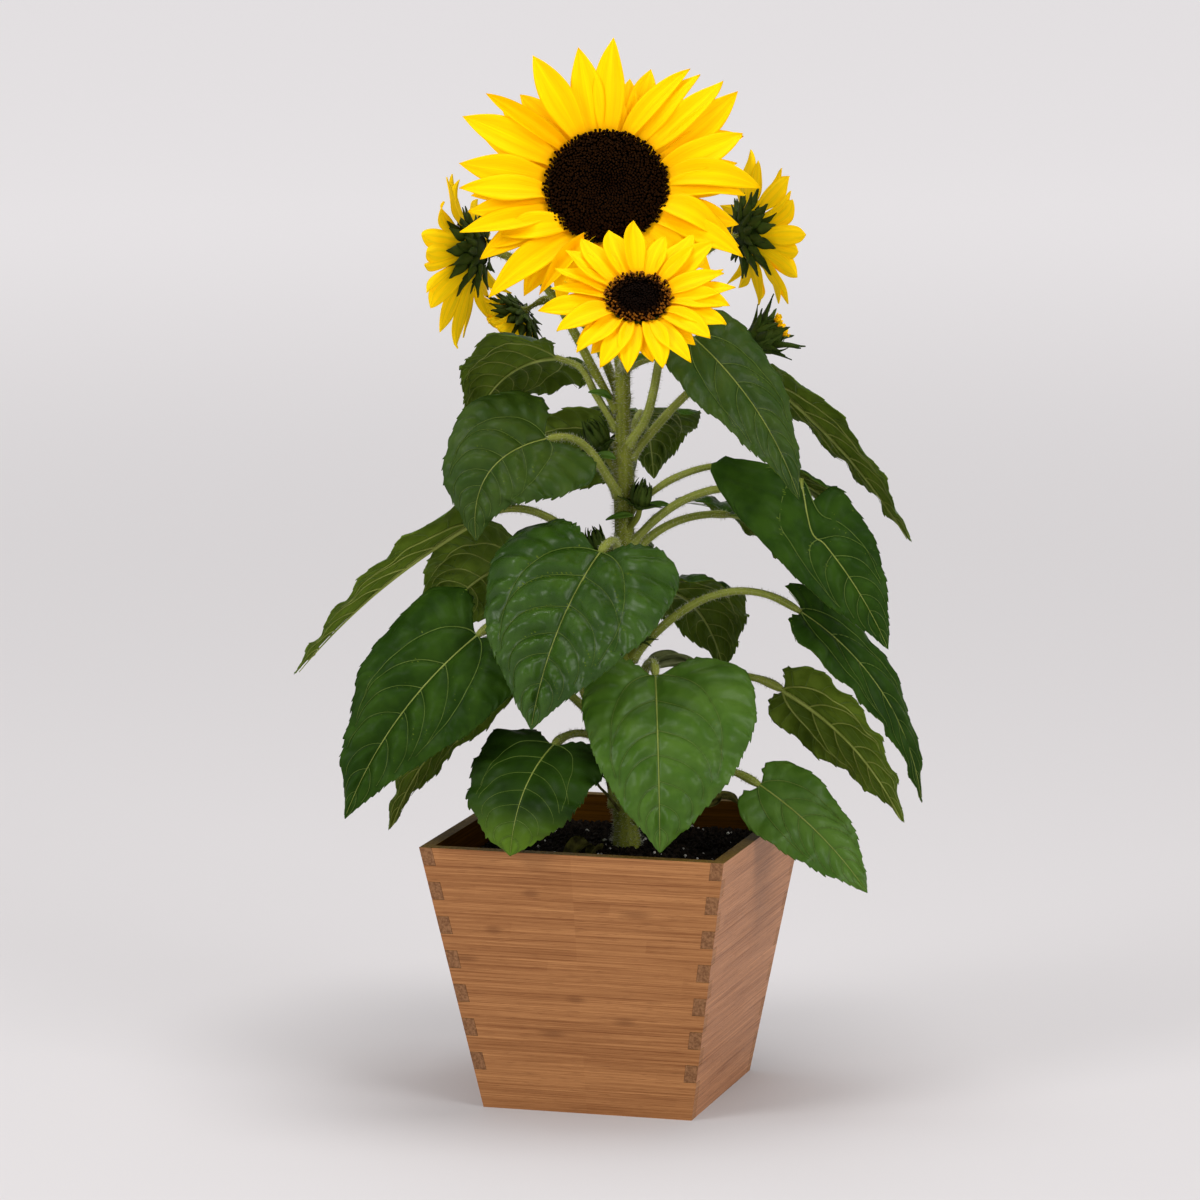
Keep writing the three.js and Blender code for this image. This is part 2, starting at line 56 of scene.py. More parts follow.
# %% [markdown]
# ## Tools for meshes
# Most of this plant is grown from formulas, so its meshes come as arrays of points and faces. A small
# collector gathers many shapes into one mesh, each face with its own material and each point with a
# place on the surface (its UV) and a number called `rib`, which says how close a vein or a ridge is.

# %% A collector of shapes
class Shapes:
    """Many small shapes gathered into one mesh."""

    def __init__(self):
        self.points, self.faces, self.uv, self.kinds, self.rib = [], [], [], [], []
        self.count = 0

    def add(self, points, faces, uv, kind=0, rib=None):
        self.points.append(np.asarray(points, float))
        self.uv.append(np.asarray(uv, float))
        self.rib.append(np.zeros(len(points)) if rib is None else np.asarray(rib, float))
        self.faces.extend([[i + self.count for i in face] for face in faces])
        self.kinds.extend([kind] * len(faces))
        self.count += len(points)

    def mesh(self, name, materials):
        made = bpy.data.meshes.new(name)
        made.from_pydata(np.concatenate(self.points).tolist(), [], self.faces)
        for material in materials:
            made.materials.append(material)
        made.polygons.foreach_set("material_index", self.kinds)
        made.polygons.foreach_set("use_smooth", [True] * len(self.faces))
        corner = np.zeros(len(made.loops), int)
        made.loops.foreach_get("vertex_index", corner)
        layer = made.uv_layers.new(name="UVMap")
        layer.data.foreach_set("uv", np.concatenate(self.uv)[corner].ravel())
        rib = made.attributes.new("rib", "FLOAT", "POINT")
        rib.data.foreach_set("value", np.concatenate(self.rib))
        made.update()
        return made


def grid_faces(rows, columns, closed=False, first=0):
    """Quads over a grid of points; closed joins the last column to the first."""
    faces = []
    for row in range(rows - 1):
        for column in range(columns if closed else columns - 1):
            a = first + row * columns + column
            b = first + row * columns + (column + 1) % columns
            faces.append([a, b, b + columns, a + columns])
    return faces


def sheet_faces(rows, columns):
    """Faces of a closed sheet of two skins: the face of the first grid, then the back and the rim."""
    count, ends, last = rows * columns, columns - 1, (rows - 1) * columns
    face = grid_faces(rows, columns)
    rest = [[i + count for i in f][::-1] for f in face]
    for i in range(0, last, columns):
        j = i + columns
        rest.append([i, j, j + count, i + count])
        rest.append([j + ends, i + ends, i + ends + count, j + ends + count])
    for k in range(ends):
        rest.append([k + 1, k, k + count, k + 1 + count])
        rest.append([last + k, last + k + 1, last + k + 1 + count, last + k + count])
    return face, rest


def piece(name, mesh, replaced=()):
    """Links a finished mesh, lets it ride on the plant's body, hides the CAD nodes it stands for and prints counts.
    """
    obj = bpy.data.objects.new(name, mesh)
    bpy.context.scene.collection.objects.link(obj)
    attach(obj, BODY)
    if replaced:
        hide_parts(*replaced)
    triangles = sum(len(face.vertices) - 2 for face in mesh.polygons)
    print(f"{name}: {triangles} triangles, stands for {len(replaced)} nodes")
    return obj


def joined(name, meshes):
    """One mesh of several, with their shared UV layer and materials."""
    bm = bmesh.new()
    for mesh in meshes:
        bm.from_mesh(mesh)
    made = bpy.data.meshes.new(name)
    bm.to_mesh(made)
    bm.free()
    for material in meshes[0].materials:
        made.materials.append(material)
    return made


def names(start):
    return sorted(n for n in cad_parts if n.startswith(start))


print("collector ready")

# %% [markdown]
# ## Reading shapes back from the CAD nodes
# The CAD limbs are rings of corners strung between two end points, and the CAD blades are rows of
# corners that run from a single tip to the base. Walking outwards from an end point, one edge at a
# time, meets these rings and rows in order. Reading them gives the centre line and radius of each
# limb and the middle surface of each blade, so the looks follow the frame without a second list.

# %% Walk a CAD node ring by ring
def welded(name):
    """Corner points of a CAD node and the neighbours of each, once its loose triangles are merged."""
    bm = bmesh.new()
    bm.from_mesh(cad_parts[name].data)
    bmesh.ops.remove_doubles(bm, verts=bm.verts, dist=1e-5)
    bm.verts.index_update()
    points = np.array([v.co for v in bm.verts])
    links = [[edge.other_vert(v).index for edge in v.link_edges] for v in bm.verts]
    bm.free()
    return points, links


def levels(start, links):
    """Rings of corners met when walking away from one corner."""
    seen, rings = {start}, [[start]]
    while True:
        ring = sorted({j for i in rings[-1] for j in links[i]} - seen)
        if not ring:
            return rings
        rings.append(ring)
        seen |= set(ring)


def read_limb(name):
    """Centres and radii of a limb's rings, from its foot to its end."""
    points, links = welded(name)
    for start in range(len(points)):
        rings = levels(start, links)
        sizes = [len(ring) for ring in rings]
        if sizes[-1] == 1 and len(rings) > 3 and len(set(sizes[1:-1])) == 1 and sizes[1] > 4:
            break
    rings = [points[ring] for ring in rings[1:-1]]
    centres = np.array([ring.mean(0) for ring in rings])
    radii = np.array([np.linalg.norm(ring - ring.mean(0), axis=1).mean() for ring in rings])
    foot = np.array([0.0055, 0])
    if np.linalg.norm(centres[0, :2] - foot) + centres[0, 2] * 0.1 > (
        np.linalg.norm(centres[-1, :2] - foot) + centres[-1, 2] * 0.1
    ):
        centres, radii = centres[::-1], radii[::-1]
    return centres, radii


def pair_middles(ring):
    """Middles of the pairs that the two skins of a blade make in one row."""
    left, middles = list(range(len(ring))), []
    while left:
        i = left.pop(0)
        j = min(left, key=lambda k: np.linalg.norm(ring[k] - ring[i]))
        left.remove(j)
        middles.append((ring[i] + ring[j]) / 2)
    return np.array(middles)


BLADE_ROWS = 7


def read_blade(name):
    """A blade's middle surface, rows from base to tip, and its own stalk's centre line if it has one."""
    points, links = welded(name)
    for start in range(len(points)):
        rings = levels(start, links)
        sizes = {len(ring) for ring in rings[1:]}
        if len(sizes) == 1 and sizes <= {6, 10}:
            break
    grid, before = [], None
    for ring in rings[1:BLADE_ROWS + 1]:
        middles = pair_middles(points[ring])
        apart = np.linalg.norm(middles[:, None] - middles[None], axis=2)
        a, b = np.unravel_index(apart.argmax(), apart.shape)
        span = middles[b] - middles[a]
        if before is not None and span @ before < 0:
            span = -span
        grid.append(middles[np.argsort(middles @ span)])
        before = span
    grid = np.array(grid[::-1])
    middle = grid.shape[1] // 2
    heading = grid[1, middle] - grid[0, middle]
    if (grid[2, -1] - grid[2, 0]) @ np.cross(heading, [0, 0, 1]) < 0:
        grid = grid[:, ::-1]
    tip = np.repeat(points[start][None, None], grid.shape[1], 1)
    stalk = np.array([points[ring].mean(0) for ring in rings[BLADE_ROWS + 1:]][::-1])
    return np.concatenate([grid, tip]), stalk


BLADES = {name: read_blade(name) for name in names("leaf_")}
print("blades:", len(BLADES), "with a stalk of their own mesh:", sum(len(s) > 0 for _, s in BLADES.values()))

# %% [markdown]
# Between the few CAD rows a smooth curve fills in. A Hermite curve passes through every given value
# and leaves each with the slope that its neighbours suggest, so nothing overshoots the frame by much.

# %% Smooth curves through given values
def hermite(knots, values, at):
    """Curve through values[sample, knot], read at one place for each sample."""
    knots = np.asarray(knots, float)
    slopes = np.gradient(values, knots, axis=1)
    i = np.clip(np.searchsorted(knots, at, side="right") - 1, 0, len(knots) - 2)
    gap = (knots[i + 1] - knots[i])[:, None]
    x = (at - knots[i])[:, None] / gap
    pick = np.arange(len(at))
    a, b = values[pick, i], values[pick, i + 1]
    rise_a, rise_b = slopes[pick, i] * gap, slopes[pick, i + 1] * gap
    return (
        a * (1 + 2 * x) * (1 - x) ** 2 + rise_a * x * (1 - x) ** 2
        + b * x**2 * (3 - 2 * x) + rise_b * x**2 * (x - 1)
    )


def through(points, count, extra=None):
    """A smooth line of `count` points through a few, with a number carried along it."""
    points = np.asarray(points, float)
    if extra is not None:
        points = np.column_stack([points, extra])
    steps = np.linalg.norm(np.diff(points[:, :3], axis=0), axis=1)
    knots = np.concatenate([[0], np.cumsum(np.maximum(steps, 1e-6))])
    at = np.linspace(0, knots[-1], count)
    line = hermite(knots, np.repeat(points[None], count, 0), at)
    return line if extra is None else (line[:, :3], line[:, 3])


def smoothstep(low, high, x):
    x = np.clip((x - low) / (high - low), 0, 1)
    return x * x * (3 - 2 * x)


def unit(vectors):
    return vectors / np.maximum(np.linalg.norm(vectors, axis=-1, keepdims=True), 1e-12)


print("curve through three points:", through([[0, 0, 0], [1, 1, 0], [2, 0, 0]], 5).round(2).tolist())

# %% [markdown]
# ## Tools for node trees
# Both shaders and Geometry Nodes are graphs. One helper adds a node, sets its fields and plugs in its
# inputs, either with a plain value or with another node's output.

# %% Build node graphs with one helper
def add_node(tree, kind, inputs=None, **fields):
    """A new node with its fields set and its inputs given as values or as sockets to link."""
    made = tree.nodes.new(kind)
    for field, value in fields.items():
        setattr(made, field, value)
    for socket, value in (inputs or {}).items():
        if isinstance(value, bpy.types.NodeSocket):
            tree.links.new(value, made.inputs[socket])
        else:
            made.inputs[socket].default_value = value
    return made


def maths(tree, operation, a, b=0.0, c=0.0):
    return add_node(tree, "ShaderNodeMath", {0: a, 1: b, 2: c}, operation=operation).outputs[0]


def triple(tree, x=0.0, y=0.0, z=0.0):
    return add_node(tree, "ShaderNodeCombineXYZ", {0: x, 1: y, 2: z}).outputs[0]


def fitted(tree, value, low, high, to_low=0.0, to_high=1.0, smooth=False):
    """A value moved from the span low to high onto another span, on a straight or a smooth slope."""
    return add_node(
        tree, "ShaderNodeMapRange",
        {"Value": value, "From Min": low, "From Max": high, "To Min": to_low, "To Max": to_high},
        interpolation_type="SMOOTHSTEP" if smooth else "LINEAR",
    ).outputs[0]


def cloud(tree, place, scale=1.0, detail=2.0, roughness=0.5, distortion=0.0):
    """Soft noise between 0 and 1."""
    return add_node(tree, "ShaderNodeTexNoise", {
        "Vector": place, "Scale": scale, "Detail": detail, "Roughness": roughness, "Distortion": distortion,
    }).outputs["Fac"]


def chance(tree, low, high, seed, kind="FLOAT"):
    """A random number for each point, or a random vector."""
    first, out = (2, 1) if kind == "FLOAT" else (0, 0)
    made = add_node(tree, "FunctionNodeRandomValue", {first: low, first + 1: high, "Seed": seed}, data_type=kind)
    return made.outputs[out]


def new_group(name, kind, inputs, outputs):
    """A node group, the sockets of what it is given (name, type, default) and of its result (name, type)."""
    group = bpy.data.node_groups.new(name, kind)
    for label, socket, default in inputs:
        made = group.interface.new_socket(label, in_out="INPUT", socket_type=socket)
        if default is not None:
            made.default_value = default
    for label, socket in outputs:
        group.interface.new_socket(label, in_out="OUTPUT", socket_type=socket)
    return group, group.nodes.new("NodeGroupInput").outputs, group.nodes.new("NodeGroupOutput").inputs


FLOAT, WHOLE, COLOUR = "NodeSocketFloat", "NodeSocketInt", "NodeSocketColor"
GEOMETRY, OBJECT, MATERIAL = "NodeSocketGeometry", "NodeSocketObject", "NodeSocketMaterial"


def grown(source, tree, **values):
    """The plain mesh that a Geometry Nodes tree makes of an object; the modifier is then taken off."""
    modifier = source.modifiers.new(tree.name, "NODES")
    modifier.node_group = tree
    for item in tree.interface.items_tree:
        if item.in_out == "INPUT" and item.name in values:
            modifier[item.identifier] = values[item.name]
    graph = bpy.context.evaluated_depsgraph_get()
    made = bpy.data.meshes.new_from_object(source.evaluated_get(graph))
    source.modifiers.remove(modifier)
    return made


def set_out(tree, given, result, points, shape, turn, size, smooth=False):
    """The end of a tree that sets copies of a helper object on points: made real, then given a finish."""
    source = add_node(tree, "GeometryNodeObjectInfo", {"Object": given[shape]})
    copies = add_node(tree, "GeometryNodeInstanceOnPoints", {
        "Points": points, "Instance": source.outputs["Geometry"], "Rotation": turn, "Scale": size})
    made = add_node(tree, "GeometryNodeRealizeInstances", {"Geometry": copies.outputs[0]}).outputs[0]
    if smooth:
        made = add_node(tree, "GeometryNodeSetShadeSmooth", {"Geometry": made}).outputs[0]
    painted = add_node(tree, "GeometryNodeSetMaterial", {"Geometry": made, "Material": given["Material"]})
    tree.links.new(painted.outputs[0], result[0])


def helper_object(name, mesh):
    """An object that only feeds a tree; it is removed once the tree has run."""
    obj = bpy.data.objects.new(name, mesh)
    bpy.context.scene.collection.objects.link(obj)
    return obj


print("node helpers ready")

# %% [markdown]
# ## Finishes
# Two effects are shared, so each is a group built once. `Mottle` gives soft patches and a fine relief
# at a chosen size, for skin, soil and pulp. `Bamboo grain` stacks thin strips with their own tones,
# draws long fibres along them and drops in the short dark knuckles where the cane had its joints.

# %% The shared groups
def object_place(tree, scale):
    """Object coordinates, stretched by a scale for each axis."""
    place = add_node(tree, "ShaderNodeTexCoord").outputs["Object"]
    return add_node(tree, "ShaderNodeMapping", {"Vector": place, "Scale": scale}).outputs[0]


def mix_colour(tree, factor, a, b):
    """Colour a fading to colour b."""
    made = tree.nodes.new("ShaderNodeMix")
    made.data_type = "RGBA"
    for name, value in (("Factor", factor), ("A", a), ("B", b)):
        socket = [s for s in made.inputs if s.name == name and s.enabled][0]
        if isinstance(value, bpy.types.NodeSocket):
            tree.links.new(value, socket)
        else:
            socket.default_value = value
    return [s for s in made.outputs if s.enabled][0]


def build_mottle():
    group, given, result = new_group(
        "Mottle", "ShaderNodeTree",
        [("Scale", FLOAT, 80.0), ("Fine Scale", FLOAT, 900.0), ("Low", FLOAT, 0.35), ("High", FLOAT, 0.65)],
        [("Patches", FLOAT), ("Relief", FLOAT)],
    )
    place = add_node(group, "ShaderNodeTexCoord").outputs["Object"]
    broad = cloud(group, place, given["Scale"], detail=3.0, roughness=0.55)
    patches = fitted(group, broad, given["Low"], given["High"], smooth=True)
    fine = cloud(group, place, given["Fine Scale"], detail=4.0, roughness=0.6)
    group.links.new(patches, result["Patches"])
    group.links.new(fine, result["Relief"])
    return group


BAMBOO_KNOTS = (        # places of the nodes of the cane along x and z, and half lengths, in metres
    (-0.0620, 0.0835, 0.008), (-0.0020, 0.0640, 0.006), (-0.0160, 0.0440, 0.009), (0.0330, 0.1130, 0.010),
    (-0.0230, 0.1215, 0.005), (0.0240, 0.0530, 0.007), (-0.0450, 0.1000, 0.005),
)
KNOT_HEIGHT = 0.0028


def build_bamboo_grain():
    group, given, result = new_group(
        "Bamboo grain", "ShaderNodeTree",
        [("Pale", COLOUR, None), ("Dark", COLOUR, None), ("Strip", FLOAT, 0.0066), ("Knuckles", FLOAT, 1.0)],
        [("Color", COLOUR), ("Relief", FLOAT), ("Gloss", FLOAT)],
    )
    place = add_node(group, "ShaderNodeTexCoord").outputs["Object"]
    parts = add_node(group, "ShaderNodeSeparateXYZ", {0: place})
    wander = cloud(group, object_place(group, (9, 9, 20)))
    lifted = maths(group, "MULTIPLY_ADD", wander, 0.0012, parts.outputs["Z"])
    strip = maths(group, "FLOOR", maths(group, "DIVIDE", lifted, given["Strip"]))
    side = maths(group, "SIGN", parts.outputs["X"])
    run = maths(group, "FLOOR", maths(group, "MULTIPLY_ADD", strip, 0.37, maths(
        group, "MULTIPLY", maths(group, "ADD", parts.outputs["X"], parts.outputs["Y"]), 5.0)))
    tone = add_node(group, "ShaderNodeTexWhiteNoise", {"Vector": triple(group, strip, run, side)}).outputs["Value"]
    broad = cloud(group, object_place(group, (7, 7, 260)), detail=3.0, roughness=0.6, distortion=0.6)
    fibre = cloud(group, object_place(group, (12, 12, 900)), detail=8.0, roughness=0.80, distortion=0.4)
    lines = cloud(group, object_place(group, (6, 6, 2400)), roughness=0.6)
    pores = cloud(group, object_place(group, (110, 110, 2600)))
    mixed = maths(group, "MULTIPLY", fibre, 0.90)
    for layer, share in ((lines, 0.50), (broad, 0.30), (tone, 0.06)):
        mixed = maths(group, "MULTIPLY_ADD", layer, share, mixed)
    wood = mix_colour(group, fitted(group, mixed, 0.68, 1.06), given["Dark"], given["Pale"])
    marks = 0.0
    for x, z, wide in BAMBOO_KNOTS:
        gap = add_node(group, "ShaderNodeVectorMath", {
            0: triple(
                group, maths(group, "DIVIDE", maths(group, "SUBTRACT", parts.outputs["X"], x), wide),
                maths(group, "DIVIDE", maths(group, "SUBTRACT", parts.outputs["Z"], z), KNOT_HEIGHT))},
            operation="LENGTH").outputs["Value"]
        ragged = maths(group, "MULTIPLY_ADD", fibre, 2.6, maths(group, "SUBTRACT", gap, 1.3))
        marks = maths(group, "MAXIMUM", fitted(group, ragged, 0.35, 1.15, 1.0, 0.0), marks)
    streak = fitted(group, pores, 0.60, 0.74, to_high=0.45)
    knots = maths(group, "MULTIPLY", maths(group, "MULTIPLY", marks, 0.36), given["Knuckles"])
    dirt = maths(group, "MAXIMUM", knots, streak)
    marked = mix_colour(group, dirt, wood, given["Dark"])
    darker = mix_colour(group, maths(group, "MULTIPLY", dirt, 0.5), marked, (0.05, 0.022, 0.01, 1))
    group.links.new(darker, result["Color"])
    relief = maths(group, "SUBTRACT", fibre, maths(group, "MULTIPLY", dirt, 0.5))
    group.links.new(relief, result["Relief"])
    gloss = maths(group, "MULTIPLY_ADD", fibre, -0.22, 0.60)
    group.links.new(gloss, result["Gloss"])
    return group


MOTTLE = build_mottle()
GRAIN = build_bamboo_grain()
print("groups:", [group.name for group in bpy.data.node_groups])

# %% [markdown]
# A plant's skin is never one colour: sap, shade and age leave soft patches, and a fine relief breaks
# up its shine. One builder makes every living finish from two tones, a patch size and a roughness.
# The `rib` number can pull the colour towards a third tone, which paints veins and ridges; on most upper
# leaf skins that tone is darker, a painted shade in the furrows where the veins lie.

# %% Finishes of living skin
def start_material(name):
    material = bpy.data.materials.new(name)
    material.use_nodes = True
    tree = material.node_tree
    shader = tree.nodes["Principled BSDF"]
    return material, tree, shader


def group_node(tree, group, inputs):
    return add_node(tree, "ShaderNodeGroup", inputs, node_tree=group)


def rgba(colour):
    return (*colour, 1.0)


def add_bump(tree, shader, height, strength, distance):
    bump = add_node(tree, "ShaderNodeBump", {"Height": height, "Strength": strength, "Distance": distance})
    tree.links.new(bump.outputs[0], shader.inputs["Normal"])


def living(name, deep, light, rough, scale, shine=0.12, relief=0.25, rib=None, rib_share=0.8, tip=None):
    """Living skin: two tones in patches, fine relief, and a tone along ribs and at the tip, at times painted shade.
    """
    material, tree, shader = start_material(name)
    mottle = group_node(tree, MOTTLE, {"Scale": scale, "Fine Scale": 1300.0, "Low": 0.32, "High": 0.68})
    colour = mix_colour(tree, mottle.outputs["Patches"], rgba(deep), rgba(light))
    if tip:
        uv = add_node(tree, "ShaderNodeUVMap", uv_map="UVMap").outputs[0]
        along = add_node(tree, "ShaderNodeSeparateXYZ", {0: uv}).outputs["Y"]
        colour = mix_colour(tree, fitted(tree, along, 0.58, 1.0, smooth=True), colour, rgba(tip))
    if rib:
        near = add_node(tree, "ShaderNodeAttribute", attribute_name="rib").outputs["Fac"]
        colour = mix_colour(tree, maths(tree, "MULTIPLY", near, rib_share), colour, rgba(rib))
    tree.links.new(colour, shader.inputs["Base Color"])
    uneven = fitted(tree, mottle.outputs["Relief"], 0.3, 0.7, rough - 0.07, rough + 0.09)
    tree.links.new(uneven, shader.inputs["Roughness"])
    add_bump(tree, shader, mottle.outputs["Relief"], relief, 0.0004)
    shader.inputs["Specular IOR Level"].default_value = shine
    return material


# Except on the last, the rib tone of these upper skins is darker than the leaf: painted shade in the furrows where
# the veins lie.
LEAF_TOPS = {
    "deep": living("leaf_top_deep", (0.021, 0.058, 0.0038), (0.041, 0.097, 0.0080), 0.31, 55,
                   rib=(0.012, 0.036, 0.0025), rib_share=0.7, shine=0.21),
    "fresh": living("leaf_top_fresh", (0.044, 0.108, 0.0080), (0.076, 0.158, 0.017), 0.35, 55,
                    rib=(0.030, 0.075, 0.006), rib_share=0.5, shine=0.16),
    "grey": living("leaf_top_grey", (0.026, 0.060, 0.0050), (0.046, 0.086, 0.009), 0.39, 55,
                   rib=(0.016, 0.036, 0.003), rib_share=0.6, shine=0.14),
    # A darker, duller copy of the upper skin: painted shade for leaves that stand in the shade of others.
    "painted_shade": living("leaf_top_dim", (0.0135, 0.039, 0.0022), (0.0270, 0.066, 0.0045), 0.42, 55,
                  rib=(0.008, 0.024, 0.0015), rib_share=0.6, shine=0.06),
    # Darkest copy of the upper skin: painted shade from the leaves above, fading out to a yellow-green towards the
    # tip.
    "painted_shade_tipped": living("leaf_top_tipped", (0.0075, 0.0235, 0.0012), (0.018, 0.048, 0.0030), 0.42, 45,
                     rib=(0.030, 0.068, 0.006), rib_share=0.4, tip=(0.088, 0.165, 0.010), shine=0.09),
}
LEAF_UNDER = living("leaf_underside", (0.066, 0.112, 0.0055), (0.112, 0.172, 0.0120), 0.6, 60,
                    rib=(0.120, 0.160, 0.020), rib_share=0.4)
VEIN = living("leaf_vein", (0.190, 0.235, 0.036), (0.270, 0.315, 0.066), 0.5, 90, shine=0.2)
THIN_VEIN = living("leaf_vein_thin", (0.082, 0.138, 0.018), (0.130, 0.195, 0.034), 0.5, 90)
STEM_SKIN = living("stem_skin", (0.098, 0.118, 0.0090), (0.170, 0.192, 0.0180), 0.5, 120, relief=0.5,
                   rib=(0.215, 0.240, 0.038), rib_share=0.6)
PETIOLE_SKIN = living("petiole_skin", (0.150, 0.185, 0.018), (0.235, 0.270, 0.040), 0.5, 120, relief=0.4,
                      rib=(0.310, 0.335, 0.085), rib_share=0.6)
BRACT_SKIN = living("bract_skin", (0.012, 0.026, 0.0020), (0.036, 0.064, 0.0060), 0.6, 160, relief=0.4,
                    rib=(0.060, 0.085, 0.012), rib_share=0.5, shine=0.07)
DRY_LEAF = living("dried_leaf", (0.030, 0.026, 0.005), (0.110, 0.105, 0.020), 0.7, 220, relief=0.7)
FELT_LEAF = living("young_felted_leaf", (0.070, 0.085, 0.026), (0.140, 0.155, 0.062), 0.65, 160, relief=0.6,
                   rib=(0.24, 0.25, 0.12), rib_share=0.6)
HAIR = living("hair", (0.46, 0.47, 0.33), (0.64, 0.65, 0.52), 0.5, 400)
print("living finishes:", len(bpy.data.materials))

# %% [markdown]
# Light passes through rays, so their tones are strong and their shine is low. Each ray also glows in its
# own colour, painted light that stands in for the light passing through, more on the back. Along its length
# each ray goes from orange at the disc to clean yellow, and fine lines run to the tip. Both follow the ray's
# own UV map: v runs from the disc to the tip, and u runs across.

# %% Finishes of rays and florets
def colour_ramp(tree, factor, stops):
    ramp = add_node(tree, "ShaderNodeValToRGB", {"Fac": factor})
    elements = ramp.color_ramp.elements
    while len(elements) < len(stops):
        elements.new(0.5)
    for element, (place, colour) in zip(elements, stops):
        element.position = place
        element.color = rgba(colour)
    return ramp.outputs["Color"]


def ray_material(name, stops, line, line_share, painted_glow):
    material, tree, shader = start_material(name)
    uv = add_node(tree, "ShaderNodeUVMap", uv_map="UVMap").outputs[0]
    parts = add_node(tree, "ShaderNodeSeparateXYZ", {0: uv})
    colour = colour_ramp(tree, parts.outputs["Y"], stops)
    stretched = add_node(tree, "ShaderNodeMapping", {"Vector": uv, "Scale": (26, 1.6, 1)}).outputs[0]
    threads = cloud(tree, stretched, detail=3.0)
    lines = fitted(tree, threads, 0.45, 0.75, to_high=line_share)
    colour = mix_colour(tree, lines, colour, rgba(line))
    near = add_node(tree, "ShaderNodeAttribute", attribute_name="rib").outputs["Fac"]
    colour = mix_colour(tree, maths(tree, "MULTIPLY", near, line_share), colour, rgba(line))
    tree.links.new(colour, shader.inputs["Base Color"])
    # Emission in the ray's own colour: painted light for the light that passes through it.
    tree.links.new(colour, shader.inputs["Emission Color"])
    shader.inputs["Emission Strength"].default_value = painted_glow
    shader.inputs["Roughness"].default_value = 0.6
    shader.inputs["Specular IOR Level"].default_value = 0.03
    add_bump(tree, shader, threads, 0.35, 0.0004)
    return material


RAY_FACE = ray_material(
    "ray_face",
    [(0.0, (0.70, 0.24, 0.001)), (0.2, (0.97, 0.52, 0.0)), (0.5, (1.0, 0.62, 0.0)), (1.0, (1.0, 0.64, 0.0))],
    (0.86, 0.40, 0.0), 0.5, 0.10,
)
RAY_BACK = ray_material(
    "ray_back",
    [(0.0, (0.60, 0.34, 0.001)), (0.3, (0.90, 0.53, 0.001)), (1.0, (0.97, 0.60, 0.002))],
    (0.50, 0.42, 0.004), 0.5, 0.22,
)


def floret_material(name, stops):
    material, tree, shader = start_material(name)
    uv = add_node(tree, "ShaderNodeUVMap", uv_map="UVMap").outputs[0]
    parts = add_node(tree, "ShaderNodeSeparateXYZ", {0: uv})
    mottle = group_node(tree, MOTTLE, {"Scale": 500.0, "Fine Scale": 2500.0, "Low": 0.3, "High": 0.7})
    # Darker towards each floret's foot, painted shade among the florets; lighter at the tip, partly its own brown and
    # partly a painted highlight.
    shifted = maths(tree, "MULTIPLY_ADD", mottle.outputs["Patches"], 0.16, maths(
        tree, "SUBTRACT", parts.outputs["Y"], 0.08))
    tree.links.new(colour_ramp(tree, shifted, stops), shader.inputs["Base Color"])
    shader.inputs["Roughness"].default_value = 0.6
    shader.inputs["Specular IOR Level"].default_value = 0.02
    add_bump(tree, shader, mottle.outputs["Relief"], 0.3, 0.0002)
    return material


DARK_FLORET = floret_material(
    "floret_dark",
    [(0.0, (0.0004, 0.0001, 0.0)), (0.62, (0.0012, 0.0004, 0.0001)), (0.82, (0.0036, 0.0012, 0.0002)),
     (1.0, (0.022, 0.0072, 0.0010))],
)
CORE_FLORET = floret_material(
    "floret_core", [(0.0, (0.0004, 0.0001, 0.0)), (0.7, (0.0010, 0.0003, 0.0001)), (1.0, (0.0050, 0.0016, 0.0003))])
OPEN_FLORET = floret_material(
    "floret_open",
    [(0.0, (0.002, 0.0007, 0.0003)), (0.55, (0.010, 0.0033, 0.001)), (0.80, (0.046, 0.013, 0.002)),
     (1.0, (0.30, 0.100, 0.008))],
)
print("bloom finishes ready")

# %% [markdown]
# The planter is oiled bamboo board. Its faces show long horizontal fibres in stacked strips, and the
# finger ends show the cut ends of the fibres, which drink more oil and look darker.

# %% Finishes of the planter and the soil
def bamboo(name, pale, dark, relief=0.35, knuckles=1.0, shine=0.2):
    material, tree, shader = start_material(name)
    grain = group_node(tree, GRAIN, {"Pale": rgba(pale), "Dark": rgba(dark), "Knuckles": knuckles})
    tree.links.new(grain.outputs["Color"], shader.inputs["Base Color"])
    tree.links.new(grain.outputs["Gloss"], shader.inputs["Roughness"])
    add_bump(tree, shader, grain.outputs["Relief"], relief, 0.0003)
    shader.inputs["Specular IOR Level"].default_value = shine
    return material


def end_grain(name, pale, dark, shine):
    material, tree, shader = start_material(name)
    mottle = group_node(tree, MOTTLE, {"Scale": 700.0, "Fine Scale": 2400.0, "Low": 0.3, "High": 0.7})
    tree.links.new(mix_colour(tree, mottle.outputs["Patches"], rgba(dark), rgba(pale)), shader.inputs["Base Color"])
    shader.inputs["Roughness"].default_value = 0.6
    shader.inputs["Specular IOR Level"].default_value = shine
    add_bump(tree, shader, mottle.outputs["Relief"], 0.5, 0.0003)
    return material


BAMBOO_FACE = bamboo("bamboo_face", (0.500, 0.228, 0.082), (0.200, 0.067, 0.018))
# Paler copy of the face finish for the side boards: painted light, for the way the light falls on them.
BAMBOO_SIDE_PAINTED_LIGHT = bamboo("bamboo_side_painted_light", (0.590, 0.272, 0.122), (0.255, 0.096, 0.034), knuckles=0.0)
